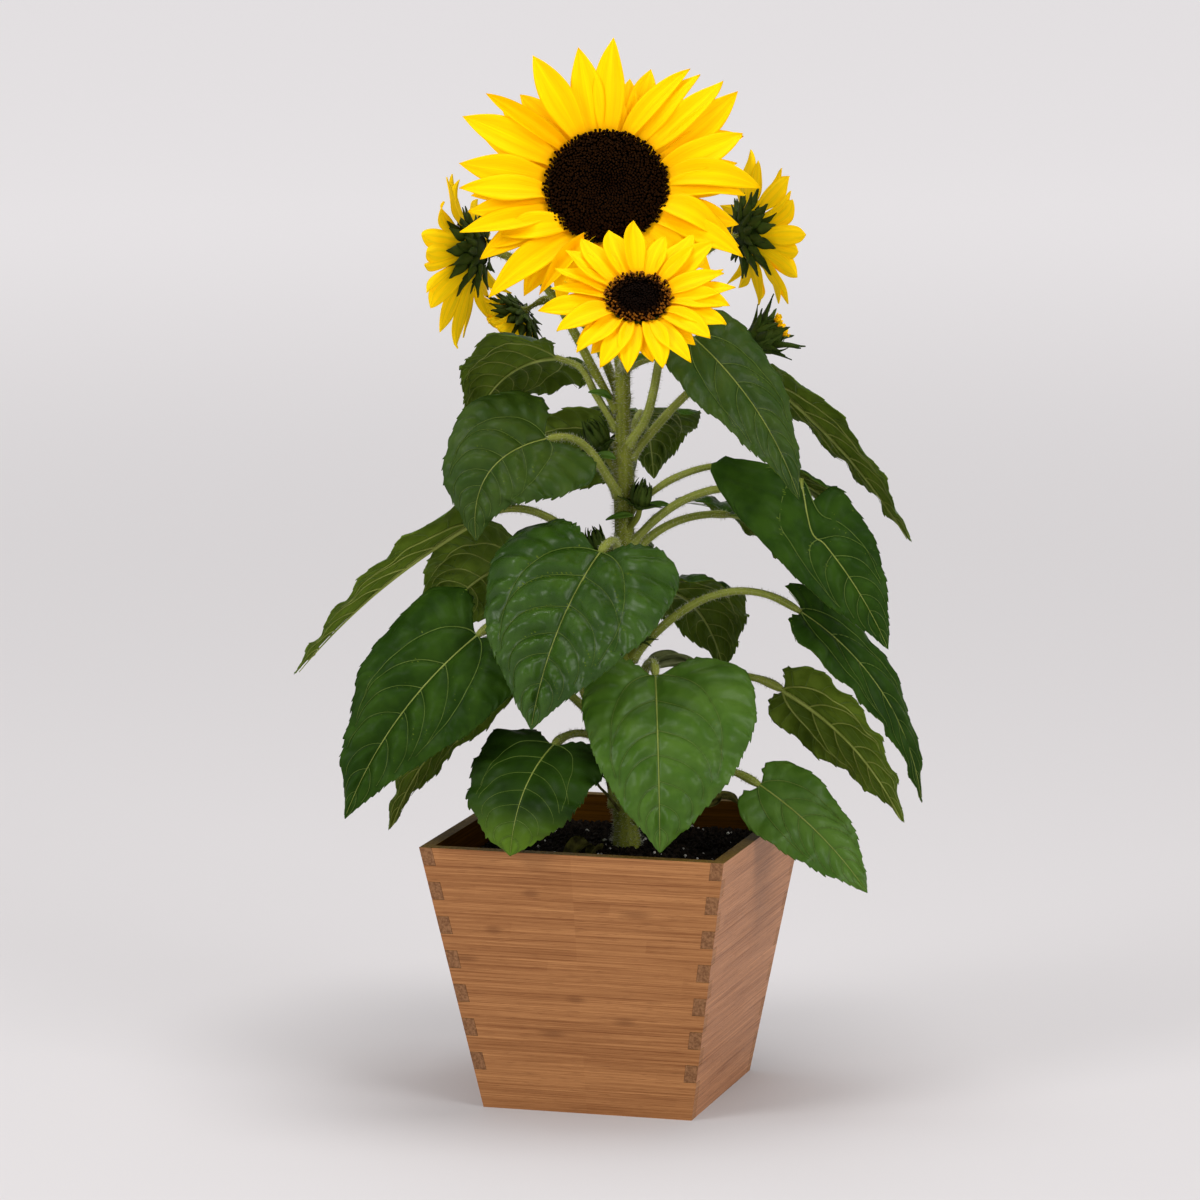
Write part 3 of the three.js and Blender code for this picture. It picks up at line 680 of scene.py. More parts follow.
# Near-black copy of the bamboo for the planter's inner faces: painted shade inside the box.
BAMBOO_INSIDE_PAINTED_SHADE = bamboo("bamboo_inside_painted_shade", (0.085, 0.033, 0.003), (0.030, 0.011, 0.001), knuckles=0.0, shine=0.0)
BAMBOO_END = end_grain("bamboo_end", (0.300, 0.145, 0.064), (0.165, 0.072, 0.030), 0.15)
BAMBOO_RIM = end_grain("bamboo_rim", (0.165, 0.098, 0.018), (0.080, 0.047, 0.008), 0.05)
BAMBOO_FLOOR = bamboo("bamboo_floor", (0.30, 0.14, 0.06), (0.14, 0.06, 0.025))

SOIL = living("soil", (0.0030, 0.0019, 0.0012), (0.010, 0.0066, 0.0042), 0.85, 260, relief=0.9, shine=0.05)
CRUMB = living("soil_crumb", (0.0035, 0.0022, 0.0014), (0.015, 0.0095, 0.006), 0.8, 420, relief=0.9, shine=0.08)
PERLITE = living("perlite", (0.32, 0.30, 0.27), (0.60, 0.58, 0.54), 0.85, 500, relief=0.8, shine=0.1)
print("materials:", len(bpy.data.materials))

# %% [markdown]
# ## The planter
# The planter is four flared boards held by finger joints, and the CAD boards already have the right
# shape. Each is copied, its loose triangles are merged and its flat faces cleaned, and a small bevel
# breaks the edges as sandpaper does. Faces on the cut ends of the fingers and on the rim get their own
# finish.

# %% Bevelled boards
EDGE_BREAK = 0.16 * MM
SNUG = 0.11 * MM        # each board swells by this much, which closes the joints


def board_mesh(node, finish):
    """A CAD board with clean faces, broken edges and end grain on its cut ends."""
    bm = bmesh.new()
    bm.from_mesh(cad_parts[node].data)
    bmesh.ops.remove_doubles(bm, verts=bm.verts, dist=1e-5)
    bmesh.ops.dissolve_limit(bm, angle_limit=0.01, verts=bm.verts, edges=bm.edges)
    for vert, shell in [(vert, vert.normal * vert.calc_shell_factor()) for vert in bm.verts]:
        vert.co += shell * SNUG
    sharp = [edge for edge in bm.edges if edge.is_manifold and edge.calc_face_angle() > 0.6]
    bmesh.ops.bevel(bm, geom=sharp, offset=EDGE_BREAK, segments=2, profile=0.6, affect="EDGES")
    runs_along_x = node.endswith(("front", "back"))
    for face in bm.faces:
        normal = face.normal
        if normal.z > 0.9:
            face.material_index = 2
        elif abs(normal.x if runs_along_x else normal.y) > 0.8:
            face.material_index = 0 if runs_along_x else 1
        # Faces turned towards the inside take the bamboo darkened with painted shade.
        elif normal.xy.dot(face.calc_center_median().xy) < 0:
            face.material_index = 3
    bmesh.ops.triangulate(bm, faces=[f for f in bm.faces if len(f.verts) > 4])
    made = bpy.data.meshes.new(node + "_board")
    bm.to_mesh(made)
    bm.free()
    for material in (finish, BAMBOO_END, BAMBOO_RIM, BAMBOO_INSIDE_PAINTED_SHADE):
        made.materials.append(material)
    return made


for node in names("planter_"):
    if node == "planter_floor":
        continue
    finish = BAMBOO_FACE if node.endswith(("front", "back")) else BAMBOO_SIDE_PAINTED_LIGHT
    piece(node.replace("planter", "board"), board_mesh(node, finish), [node])
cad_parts["planter_floor"].data.materials.clear()
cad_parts["planter_floor"].data.materials.append(BAMBOO_FLOOR)

# %% [markdown]
# ## The soil
# Potting mix is a dark bed of crumbs with white perlite. The bed is a grid that follows the CAD
# mound with a rougher surface. Crumbs and perlite are scattered over it by a Geometry Nodes tree that
# drops a lump on each random point and gives it its own turn and size.

# %% The bed
soil_low, soil_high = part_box("soil")
BED_HALF = soil_high.x - 0.4 * MM
BED_TOP = soil_high.z - 2.6 * MM
STEM_FOOT = read_limb("stem")[0][0]


def noise(points, scale, seed):
    """Smooth noise from a few crossing waves, the same every run."""
    draw = np.random.default_rng(seed)
    total = np.zeros(len(points))
    for octave in range(5):
        heading = unit(draw.normal(size=(4, points.shape[1])))
        phase = draw.uniform(0, 2 * math.pi, 4)
        waves = np.sin(points @ heading.T * scale * 2**octave + phase)
        total += waves.prod(axis=1) / 1.6**octave
    return total


def soil_bed():
    side = 90
    axis = np.linspace(-1, 1, side)
    x, y = np.meshgrid(axis * BED_HALF, axis * BED_HALF)
    flat = np.column_stack([x.ravel(), y.ravel()])
    reach = np.linalg.norm(flat - STEM_FOOT[:2], axis=1)
    mound = 2.5 * MM * np.exp(-(reach / 0.03) ** 2)
    rough = 0.9 * MM * noise(flat, 160, 5) + 0.5 * MM * noise(flat, 700, 6)
    edge = smoothstep(0, 0.012, BED_HALF - np.abs(flat).max(axis=1))
    height = BED_TOP + 1.2 * MM + mound + rough * edge - 1.5 * MM * (1 - edge)
    points = np.column_stack([flat, height])
    shapes = Shapes()
    rim = [i for i in range(side)] + [side - 1 + side * i for i in range(1, side)]
    rim += [side * side - 1 - i for i in range(1, side)] + [side * (side - 1 - i) for i in range(1, side - 1)]
    foot = points[rim].copy()
    foot[:, :2] *= 0.72
    foot[:, 2] = soil_low.z
    base = len(points)
    faces = grid_faces(side, side)
    turn = len(rim)
    faces += [[rim[(k + 1) % turn], rim[k], base + k, base + (k + 1) % turn] for k in range(turn)]
    faces.append([base + k for k in range(turn)][::-1])
    everything = np.concatenate([points, foot])
    shapes.add(everything, faces, everything[:, :2])
    return shapes.mesh("soil_bed", [SOIL])


bed = soil_bed()
piece("soil_bed", bed, ["soil"])


# %% Crumbs and perlite, scattered by a tree
def lump_mesh(name, seed, divisions=1, spread=0.35):
    """A small uneven lump about one unit across."""
    bm = bmesh.new()
    bmesh.ops.create_icosphere(bm, subdivisions=divisions, radius=0.5)
    draw = np.random.default_rng(seed)
    for vert in bm.verts:
        vert.co *= 1 + draw.uniform(-spread, spread)
    made = bpy.data.meshes.new(name)
    bm.to_mesh(made)
    bm.free()
    return made


def build_scatter():
    tree, given, result = new_group(
        "Scatter on a surface", "GeometryNodeTree",
        [("Geometry", GEOMETRY, None), ("Lump", OBJECT, None), ("Material", MATERIAL, None),
         ("Density", FLOAT, 1000.0), ("Smallest", FLOAT, 0.001), ("Largest", FLOAT, 0.003),
         ("Lift", FLOAT, 0.0), ("Seed", WHOLE, 1)],
        [("Geometry", GEOMETRY)],
    )
    normal = add_node(tree, "GeometryNodeInputNormal").outputs[0]
    upward = add_node(tree, "ShaderNodeSeparateXYZ", {0: normal}).outputs["Z"]
    points = add_node(tree, "GeometryNodeDistributePointsOnFaces", {
        "Mesh": given["Geometry"], "Density": given["Density"], "Seed": given["Seed"],
        "Selection": maths(tree, "GREATER_THAN", upward, 0.5)})
    turn = chance(tree, (0, 0, 0), (6.28, 6.28, 6.28), given["Seed"], "FLOAT_VECTOR")
    mostly_small = maths(tree, "POWER", chance(tree, 0.0, 1.0, given["Seed"]), 2.2)
    span = maths(tree, "SUBTRACT", given["Largest"], given["Smallest"])
    size = maths(tree, "MULTIPLY_ADD", mostly_small, span, given["Smallest"])
    raised = add_node(tree, "GeometryNodeSetPosition", {
        "Geometry": points.outputs["Points"], "Offset": triple(tree, z=given["Lift"])})
    set_out(tree, given, result, raised.outputs[0], "Lump", turn, size)
    return tree


SCATTER = build_scatter()
bed_source = helper_object("bed_source", bed)
for name, finish, density, small, large, lift, seed, shape in (
    ("soil_crumbs", CRUMB, 175000, 0.9 * MM, 4.2 * MM, 0.5 * MM, 11, (3, 1, 0.35)),
    ("soil_perlite", PERLITE, 3000, 0.9 * MM, 3.0 * MM, 1.1 * MM, 23, (8, 2, 0.12)),
):
    lump = helper_object(name + "_lump", lump_mesh(name + "_lump", *shape))
    values = {"Lump": lump, "Material": finish, "Density": density, "Smallest": small, "Largest": large}
    mesh = grown(bed_source, SCATTER, **values, Lift=lift, Seed=seed)
    mesh.name = name
    piece(name, mesh)
    bpy.data.objects.remove(lump)
bpy.data.objects.remove(bed_source)

# %% [markdown]
# ## Stem, flower stalks and leaf stalks
# A limb is a tube round a smooth line through the rings of its CAD node. Its section isn't a plain
# circle: low ribs run along it, and it swells where a leaf stalk leaves. The `rib` number stores how
# high a point stands on a rib, so the finish can make the ribs paler.

# %% Tubes with ribs
def frames_along(line):
    """Headings and two side directions, carried along a line without twist."""
    headings = unit(np.gradient(line, axis=0))
    side = np.cross(headings[0], [0, 0, 1]) if abs(headings[0, 2]) < 0.9 else np.cross(headings[0], [0, 1, 0])
    sides = []
    for heading in headings:
        side = unit(side - heading * (side @ heading))
        sides.append(side)
    sides = np.array(sides)
    return headings, sides, np.cross(headings, sides)


def add_tube(shapes, line, radii, sides=16, ribs=5, rib_height=0.06, kind=0, channel=0.0):
    """A closed tube round a line; channel presses a groove into its upper side."""
    headings, across, other = frames_along(line)
    turn = np.linspace(0, 2 * math.pi, sides, endpoint=False)
    wave = np.cos(ribs * turn)
    out = np.cos(turn)[None, :, None] * across[:, None] + np.sin(turn)[None, :, None] * other[:, None]
    up = unit(np.array([0, 0, 1.0]) - headings * headings[:, 2:3])
    toward_up = np.einsum("ijk,ik->ij", out, up)
    radius = radii[:, None] * (1 + rib_height * wave[None])
    radius = radius * (1 - channel * smoothstep(0.72, 1.0, toward_up))
    points = line[:, None] + out * radius[..., None]
    along = np.concatenate([[0], np.cumsum(np.linalg.norm(np.diff(line, axis=0), axis=1))])
    uv = np.stack(np.broadcast_arrays(turn[None] / (2 * math.pi), along[:, None]), axis=-1)
    rib = np.broadcast_to(0.5 + 0.5 * wave[None], radius.shape)
    rows = len(line)
    faces = grid_faces(rows, sides, closed=True)
    first, last = rows * sides, rows * sides + 1
    faces += [[first, (k + 1) % sides, k] for k in range(sides)]
    base = (rows - 1) * sides
    faces += [[last, base + k, base + (k + 1) % sides] for k in range(sides)]
    everything = np.concatenate([points.reshape(-1, 3), line[:1], line[-1:]])
    uvs = np.concatenate([uv.reshape(-1, 2), uv[0, :1], uv[-1, :1]])
    shapes.add(everything, faces, uvs, kind, np.concatenate([rib.ravel(), [0.5, 0.5]]))


STEM_LINE, STEM_RADII = read_limb("stem")


def rooted(line, radii, depth=3.2 * MM):
    """The line of a stalk, lengthened into the stem that it leaves."""
    inward = unit(line[0] - line[1]) * depth
    return np.concatenate([[line[0] + inward], line]), np.concatenate([[radii[0] * 1.25], radii])


def swelling(line, centres, height, reach):
    """Extra radius near each of some heights, for the nodes of the stem."""
    total = np.zeros(len(line))
    for centre in centres:
        total += height * np.exp(-((line[:, 2] - centre) / reach) ** 2)
    return total


STEM_NODES = (0.137, 0.151, 0.190, 0.236, 0.278, 0.297, 0.345, 0.372, 0.392)    # heights where stalks leave
STEM_SCARS = (0.1455, 0.159, 0.3468)    # heights of the sharp rings that fallen scales leave
stem_shapes = Shapes()
foot = STEM_LINE[0] - np.array([0, 0, 4 * MM])
line, radii = through(np.concatenate([[foot], STEM_LINE]), 200, np.concatenate([[STEM_RADII[0]], STEM_RADII]))
radii = radii + swelling(line, STEM_NODES, 0.55 * MM, 3.2 * MM) + swelling(line, STEM_SCARS, 0.5 * MM, 0.9 * MM)
lumpy = noise(line, 120, 3)[:, None]
line = line + lumpy * np.array([0.25, 0.25, 0]) * MM
add_tube(stem_shapes, line, radii, sides=28, ribs=9, rib_height=0.035)
stem_mesh = stem_shapes.mesh("stem_skin", [STEM_SKIN])
piece("main_stem", stem_mesh, ["stem"])


# %% Flower stalks and leaf stalks
def leaf_stalk_line(name):
    """Centre line and radii of a leaf's stalk, from the stem to the foot of its midrib."""
    grid, own = BLADES[name]
    junction = grid[0, grid.shape[1] // 2]
    if len(own):
        line = np.concatenate([own[:-1], [junction]])
        radii = np.linspace(2.3, 1.55, len(line)) * MM
    else:
        line, radii = read_limb(name.replace("leaf", "petiole"))
        line = np.concatenate([line, [junction]])
        radii = np.concatenate([radii, [1.5 * MM]])
    line, radii = rooted(line, radii)
    return through(line, max(12, int(np.linalg.norm(np.diff(line, axis=0), axis=1).sum() / (2.2 * MM))), radii)


stalk_shapes = Shapes()
for node in names("stalk_"):
    line, radii = read_limb(node)
    line, radii = rooted(line, radii)
    ahead = unit(line[-1] - line[-2])
    line = np.concatenate([line, [line[-1] + ahead * 2 * MM]])
    radii = np.concatenate([radii, radii[-1:] * 1.6])
    line, radii = through(line, 40, radii)
    add_tube(stalk_shapes, line, radii, sides=18, ribs=6, rib_height=0.05)
stalk_mesh = stalk_shapes.mesh("flower_stalk_skin", [STEM_SKIN])
piece("flower_stalks", stalk_mesh, names("stalk_"))

petiole_shapes = Shapes()
for name in BLADES:
    line, radii = leaf_stalk_line(name)
    radii = radii * (1 + 0.25 * np.exp(-np.arange(len(line)) / 4.0))
    add_tube(petiole_shapes, line, radii, sides=18, ribs=7, rib_height=0.05, channel=0.16)
petiole_mesh = petiole_shapes.mesh("petiole_skin", [PETIOLE_SKIN])
piece("leaf_stalks", petiole_mesh, names("petiole_"))

# %% [markdown]
# ## Hairs
# Sunflowers are rough to the touch: stiff pale hairs stand on the stem and on every stalk. A tree
# scatters thin cones over the skins, square to them, each with its own length and lean.

# %% A tree that grows hairs
def spike_mesh(name, radius, sides=3):
    """A cone one unit long on a base of a few sides."""
    shapes = Shapes()
    turn = np.linspace(0, 2 * math.pi, sides, endpoint=False)
    ring = np.column_stack([radius * np.cos(turn), radius * np.sin(turn), np.zeros(sides)])
    points = np.concatenate([ring, [[0, 0, 1.0]]])
    faces = [[k, (k + 1) % sides, sides] for k in range(sides)] + [list(range(sides))[::-1]]
    shapes.add(points, faces, points[:, :2])
    return shapes.mesh(name, [HAIR])


def build_hairs():
    tree, given, result = new_group(
        "Hairs on a skin", "GeometryNodeTree",
        [("Geometry", GEOMETRY, None), ("Spike", OBJECT, None), ("Material", MATERIAL, None),
         ("Density", FLOAT, 100000.0), ("Shortest", FLOAT, 0.0008), ("Longest", FLOAT, 0.0022),
         ("Lean", FLOAT, 0.5), ("Thickness", FLOAT, 0.001), ("Seed", WHOLE, 1)],
        [("Geometry", GEOMETRY)],
    )
    points = add_node(tree, "GeometryNodeDistributePointsOnFaces", {
        "Mesh": given["Geometry"], "Density": given["Density"], "Seed": given["Seed"]})
    lean = maths(tree, "MULTIPLY", given["Lean"], -1.0)
    low, high = triple(tree, lean, lean, lean), triple(tree, given["Lean"], given["Lean"], given["Lean"])
    tilt = chance(tree, low, high, given["Seed"], "FLOAT_VECTOR")
    aim = add_node(tree, "ShaderNodeVectorMath", {0: points.outputs["Normal"], 1: tilt}, operation="ADD")
    turn = add_node(tree, "FunctionNodeAlignRotationToVector", {"Vector": aim.outputs[0]}, axis="Z")
    length = chance(tree, given["Shortest"], given["Longest"], given["Seed"])
    size = triple(tree, given["Thickness"], given["Thickness"], length)
    set_out(tree, given, result, points.outputs["Points"], "Spike", turn.outputs[0], size)
    return tree


HAIRS = build_hairs()
spike = helper_object("spike", spike_mesh("spike", 0.055))
grown_hairs = []
for label, mesh, density, short, long, seed in (
    ("stem", stem_mesh, 520000, 1.2 * MM, 3.3 * MM, 41),
    ("stalks", stalk_mesh, 560000, 0.8 * MM, 2.2 * MM, 42),
    ("petioles", petiole_mesh, 430000, 0.7 * MM, 2.0 * MM, 43),
):
    source = helper_object("hair_source", mesh)
    hair = grown(source, HAIRS, Spike=spike, Material=HAIR, Density=density, Shortest=short, Longest=long,
                 Lean=0.45, Thickness=2.2 * MM, Seed=seed)
    print(label, "hairs:", len(hair.polygons) // 4)
    grown_hairs.append(hair)
    bpy.data.objects.remove(source)
piece("stem_hairs", joined("stem_hairs", grown_hairs))
bpy.data.objects.remove(spike)

# %% [markdown]
# ## Leaves
# A sunflower leaf is a heart with a drip tip, toothed along its margin. Three strong veins part at the
# foot of the blade, more leave the midrib, and each throws branches towards the margin; between them
# the blade puffs up like a quilt. A place on a blade is a pair of numbers: s runs along the midrib from
# 0 at the foot to 1 at the tip, and v runs across from -1 to 1. Curves through the CAD rows turn such a
# pair into a point, and everything else is written in s and v.

# %% A smooth blade through the CAD rows
STATIONS = np.array([0, 0.1, 0.23, 0.38, 0.55, 0.72, 0.87, 1.0])


BROAD = {    # leaves that keep their width towards the tip: factors for the last three rows before it
    "leaf_18": (1.22, 1.52, 1.80), "leaf_17": (1.08, 1.16, 1.20), "leaf_19": (1.10, 1.22, 1.28),
    "leaf_11": (1.04, 1.06, 1.0),
}


class Blade:
    """The smooth middle surface of one leaf."""

    def __init__(self, name, seed):
        self.grid, _ = BLADES[name]
        self.steps = np.linspace(-1, 1, self.grid.shape[1])
        middle = self.grid.shape[1] // 2
        if name in BROAD:
            rows = np.array([1, 1, 1, 1.02, *BROAD[name], 1])[:, None, None]
            self.grid = self.grid[:, middle:middle + 1] * (1 - rows) + self.grid * rows
        self.midrib = self.grid[:, middle]
        self.length = np.linalg.norm(np.diff(self.midrib, axis=0), axis=1).sum()
        self.half = np.linalg.norm(self.grid[2, -1] - self.grid[2, 0]) / 2
        draw = np.random.default_rng(seed)
        self.phase = draw.uniform(0, 2 * math.pi, 6)
        self.wave = draw.uniform(0.6, 1.15) * min(1.0, self.half / 0.032)
        self.count = draw.integers(3, 6, 2)

    def smooth(self, s, v):
        rows = [hermite(self.steps, np.repeat(row[None], len(v), 0), v) for row in self.grid]
        return hermite(STATIONS, np.stack(rows, 1), s)

    def lift(self, s, v):
        """Height of the blade's slow waves and of the rise of each half beside the midrib."""
        margin = np.abs(v) ** 2.2 * smoothstep(0, 0.08, s + 0.03) * (1 - smoothstep(0.86, 1.0, s))
        side = np.where(v < 0, 0, 1)
        waves = np.sin(2 * math.pi * self.count[side] * s + self.phase[side])
        ruffle = 0.35 * np.sin(2 * math.pi * 9 * s + self.phase[side + 2])
        hump = 0.10 * self.half * (np.abs(v) - v**2) * np.sin(math.pi * np.clip(s, 0.05, 1)) ** 0.7
        if len(self.steps) == 3:
            hump = hump * 2.2
        return self.wave * 2.0 * MM * margin * (waves + ruffle) + hump

    def normal(self, s, v, step=0.012):
        across = self.smooth(s, np.clip(v + step, -1, 1)) - self.smooth(s, np.clip(v - step, -1, 1))
        along = self.smooth(np.clip(s + step, 0, 1), v) - self.smooth(np.clip(s - step, 0, 1), v)
        flat = np.linalg.norm(across, axis=1) < 1e-7
        across[flat] = self.grid[4, -1] - self.grid[4, 0]
        return unit(np.cross(across, along))

    def place(self, s, v):
        normal = self.normal(s, np.clip(v, -0.985, 0.985))
        return self.smooth(s, v) + normal * self.lift(s, v)[:, None], normal

    def even(self, line, gap):
        """The same line of s and v, with its points a gap apart on the blade."""
        at = self.place(line[:, 0], line[:, 1])[0]
        along = np.concatenate([[0], np.cumsum(np.linalg.norm(np.diff(at, axis=0), axis=1))])
        stops = np.linspace(0, along[-1], max(4, int(along[-1] / gap) + 1))
        return np.column_stack([np.interp(stops, along, line[:, k]) for k in (0, 1)])


print("a leaf is", [round(float(x) * 1000) for x in (Blade("leaf_11", 1).length, Blade("leaf_11", 1).half * 2)], "mm")

# %% [markdown]
# Veins are drawn as curves in s and v. The strongest is the midrib, the next are the two that leave its
# foot and sweep round towards the tip, then the side veins, their branches, and last the thin rungs
# that tie neighbours together.

# %% The pattern of veins
def bend(start, middle, end, count):
    """Points on a curve that leaves start towards middle and arrives at end."""
    t = np.linspace(0, 1, count)[:, None]
    return (1 - t) ** 2 * np.array(start) + 2 * t * (1 - t) * np.array(middle) + t**2 * np.array(end)


def vein_pattern(seed):
    """Lines in s and v as (points, start radius in mm, end radius, rank)."""
    draw = np.random.default_rng(seed)
    lines = [(np.column_stack([np.linspace(0, 0.975, 60), np.zeros(60)]), 1.25, 0.22, 0)]
    for side in (-1, 1):
        shift = draw.uniform(-0.02, 0.02)
        basal = np.concatenate([
            bend((0.0, 0.0), (0.0, 0.30), (0.16, 0.48 + shift), 26),
            bend((0.16, 0.48 + shift), (0.32, 0.66), (0.60, 0.80), 30)[1:],
        ])
        strong = [basal]
        lines.append((basal * [1, side], 0.72, 0.16, 1))
        starts = np.array([0.17, 0.33, 0.48, 0.62, 0.75, 0.86]) + draw.uniform(-0.02, 0.02, 6)
        for start in starts:
            end = (min(start + 0.34 * (1 - start) + 0.07, 0.985), draw.uniform(0.74, 0.84))
            middle = (start + 0.22 * (end[0] - start), 0.62 * end[1])
            line = bend((start, 0), middle, end, 34)
            strong.append(line)
            lines.append((line * [1, side], 0.60 - 0.42 * start, 0.13, 1))
        for number, line in enumerate(strong):
            places = (0.14, 0.27, 0.40, 0.53, 0.68, 0.84) if number == 0 else (0.5, 0.72, 0.9)
            for place in places:
                at = line[int(place * (len(line) - 1))]
                gap = 0.97 - at[1]
                forward = (0.04 + 0.09 * at[0]) if number else -0.035 + 0.15 * place
                end = (np.clip(at[0] + forward + draw.uniform(-0.01, 0.01), 0.012, 0.99), 0.97)
                middle = (at[0] + 0.25 * forward, at[1] + 0.55 * gap)
                lines.append((bend(at, middle, end, 16) * [1, side], 0.34, 0.10, 2))
        for inner, outer in zip(strong[1:], strong[2:]):
            for across in np.arange(0.16, 0.74, 0.19):
                a = across + draw.uniform(-0.03, 0.03)
                b = a - 0.05 + draw.uniform(-0.03, 0.03)
                low = (np.interp(a, inner[:, 1], inner[:, 0]), a)
                high = (np.interp(b, outer[:, 1], outer[:, 0]), b)
                if high[0] - low[0] > 0.012:
                    middle = ((low[0] + high[0]) / 2, (a + b) / 2 + draw.uniform(-0.03, 0.03))
                    lines.append((bend(low, middle, high, 8) * [1, side], 0.14, 0.10, 3))
        first = strong[1]
        for place in (0.24, 0.42, 0.6):
            low = strong[0][int(place * (len(strong[0]) - 1))]
            b = low[1] - 0.17 + draw.uniform(-0.02, 0.02)
            high = (np.interp(b, first[:, 1], first[:, 0]), b)
            if high[0] > low[0] - 0.05 and b > 0.03:
                middle = ((low[0] + high[0]) / 2 + 0.01, (low[1] + b) / 2)
                lines.append((bend(low, middle, high, 8) * [1, side], 0.15, 0.10, 3))
    return lines


print("veins in a leaf:", len(vein_pattern(1)))

# %% [markdown]
# Each leaf is a closed sheet 0.35 mm thick: an upper skin, an underskin and a rim of teeth. Its points
# rise with their distance from the nearest vein, which makes the quilt. The veins themselves become
# tubes: a tree turns each line into a curve and runs a round profile along it, thick or thin as its
# `radius` says. They stand out below and lie in their furrows above.

# %% Skins, teeth and quilt
SHEET = 0.35 * MM
TOOTH, TOOTH_DEPTH = 5.0 * MM, 2.5 * MM
LOBE_CORNER = 0.10
QUILT = ((3.0, 1.9), (2.0, 1.25), (1.3, 0.55))    # reach and height in mm for strong, middle and thin veins
FURROW = 0.5 * MM     # half the width of the flat furrow in which a vein lies


def nearest(points, samples):
    """Distance from each point to the nearest of the samples."""
    tree = kdtree.KDTree(len(samples))
    for i, sample in enumerate(samples):
        tree.insert(sample, i)
    tree.balance()
    return np.array([tree.find(p)[2] for p in points])


def lobe_edge(v):
    """Where the blade starts, in s, at each v: the lobes beside the foot have round corners."""
    corner = np.clip((np.abs(v) - 0.55) / 0.45, 0, 1)
    return LOBE_CORNER * (1 - np.sqrt(1 - corner**2))


def teeth(margin, draw):
    """Teeth along a line of margin points: how far each point stands in its tooth, and the tooth's depth."""
    along = np.concatenate([[0], np.cumsum(np.linalg.norm(np.diff(margin, axis=0), axis=1))])
    ends = np.cumsum(draw.uniform(0.8, 1.25, 80)) * TOOTH
    tooth = np.searchsorted(ends, along)
    low = np.concatenate([[0], ends])[tooth]
    share = (along - low) / (ends[tooth] - low)
    saw = np.where(share < 0.72, share / 0.72, (1 - share) / 0.28)
    return saw, draw.uniform(0.75, 1.3, 81)[tooth] * TOOTH_DEPTH


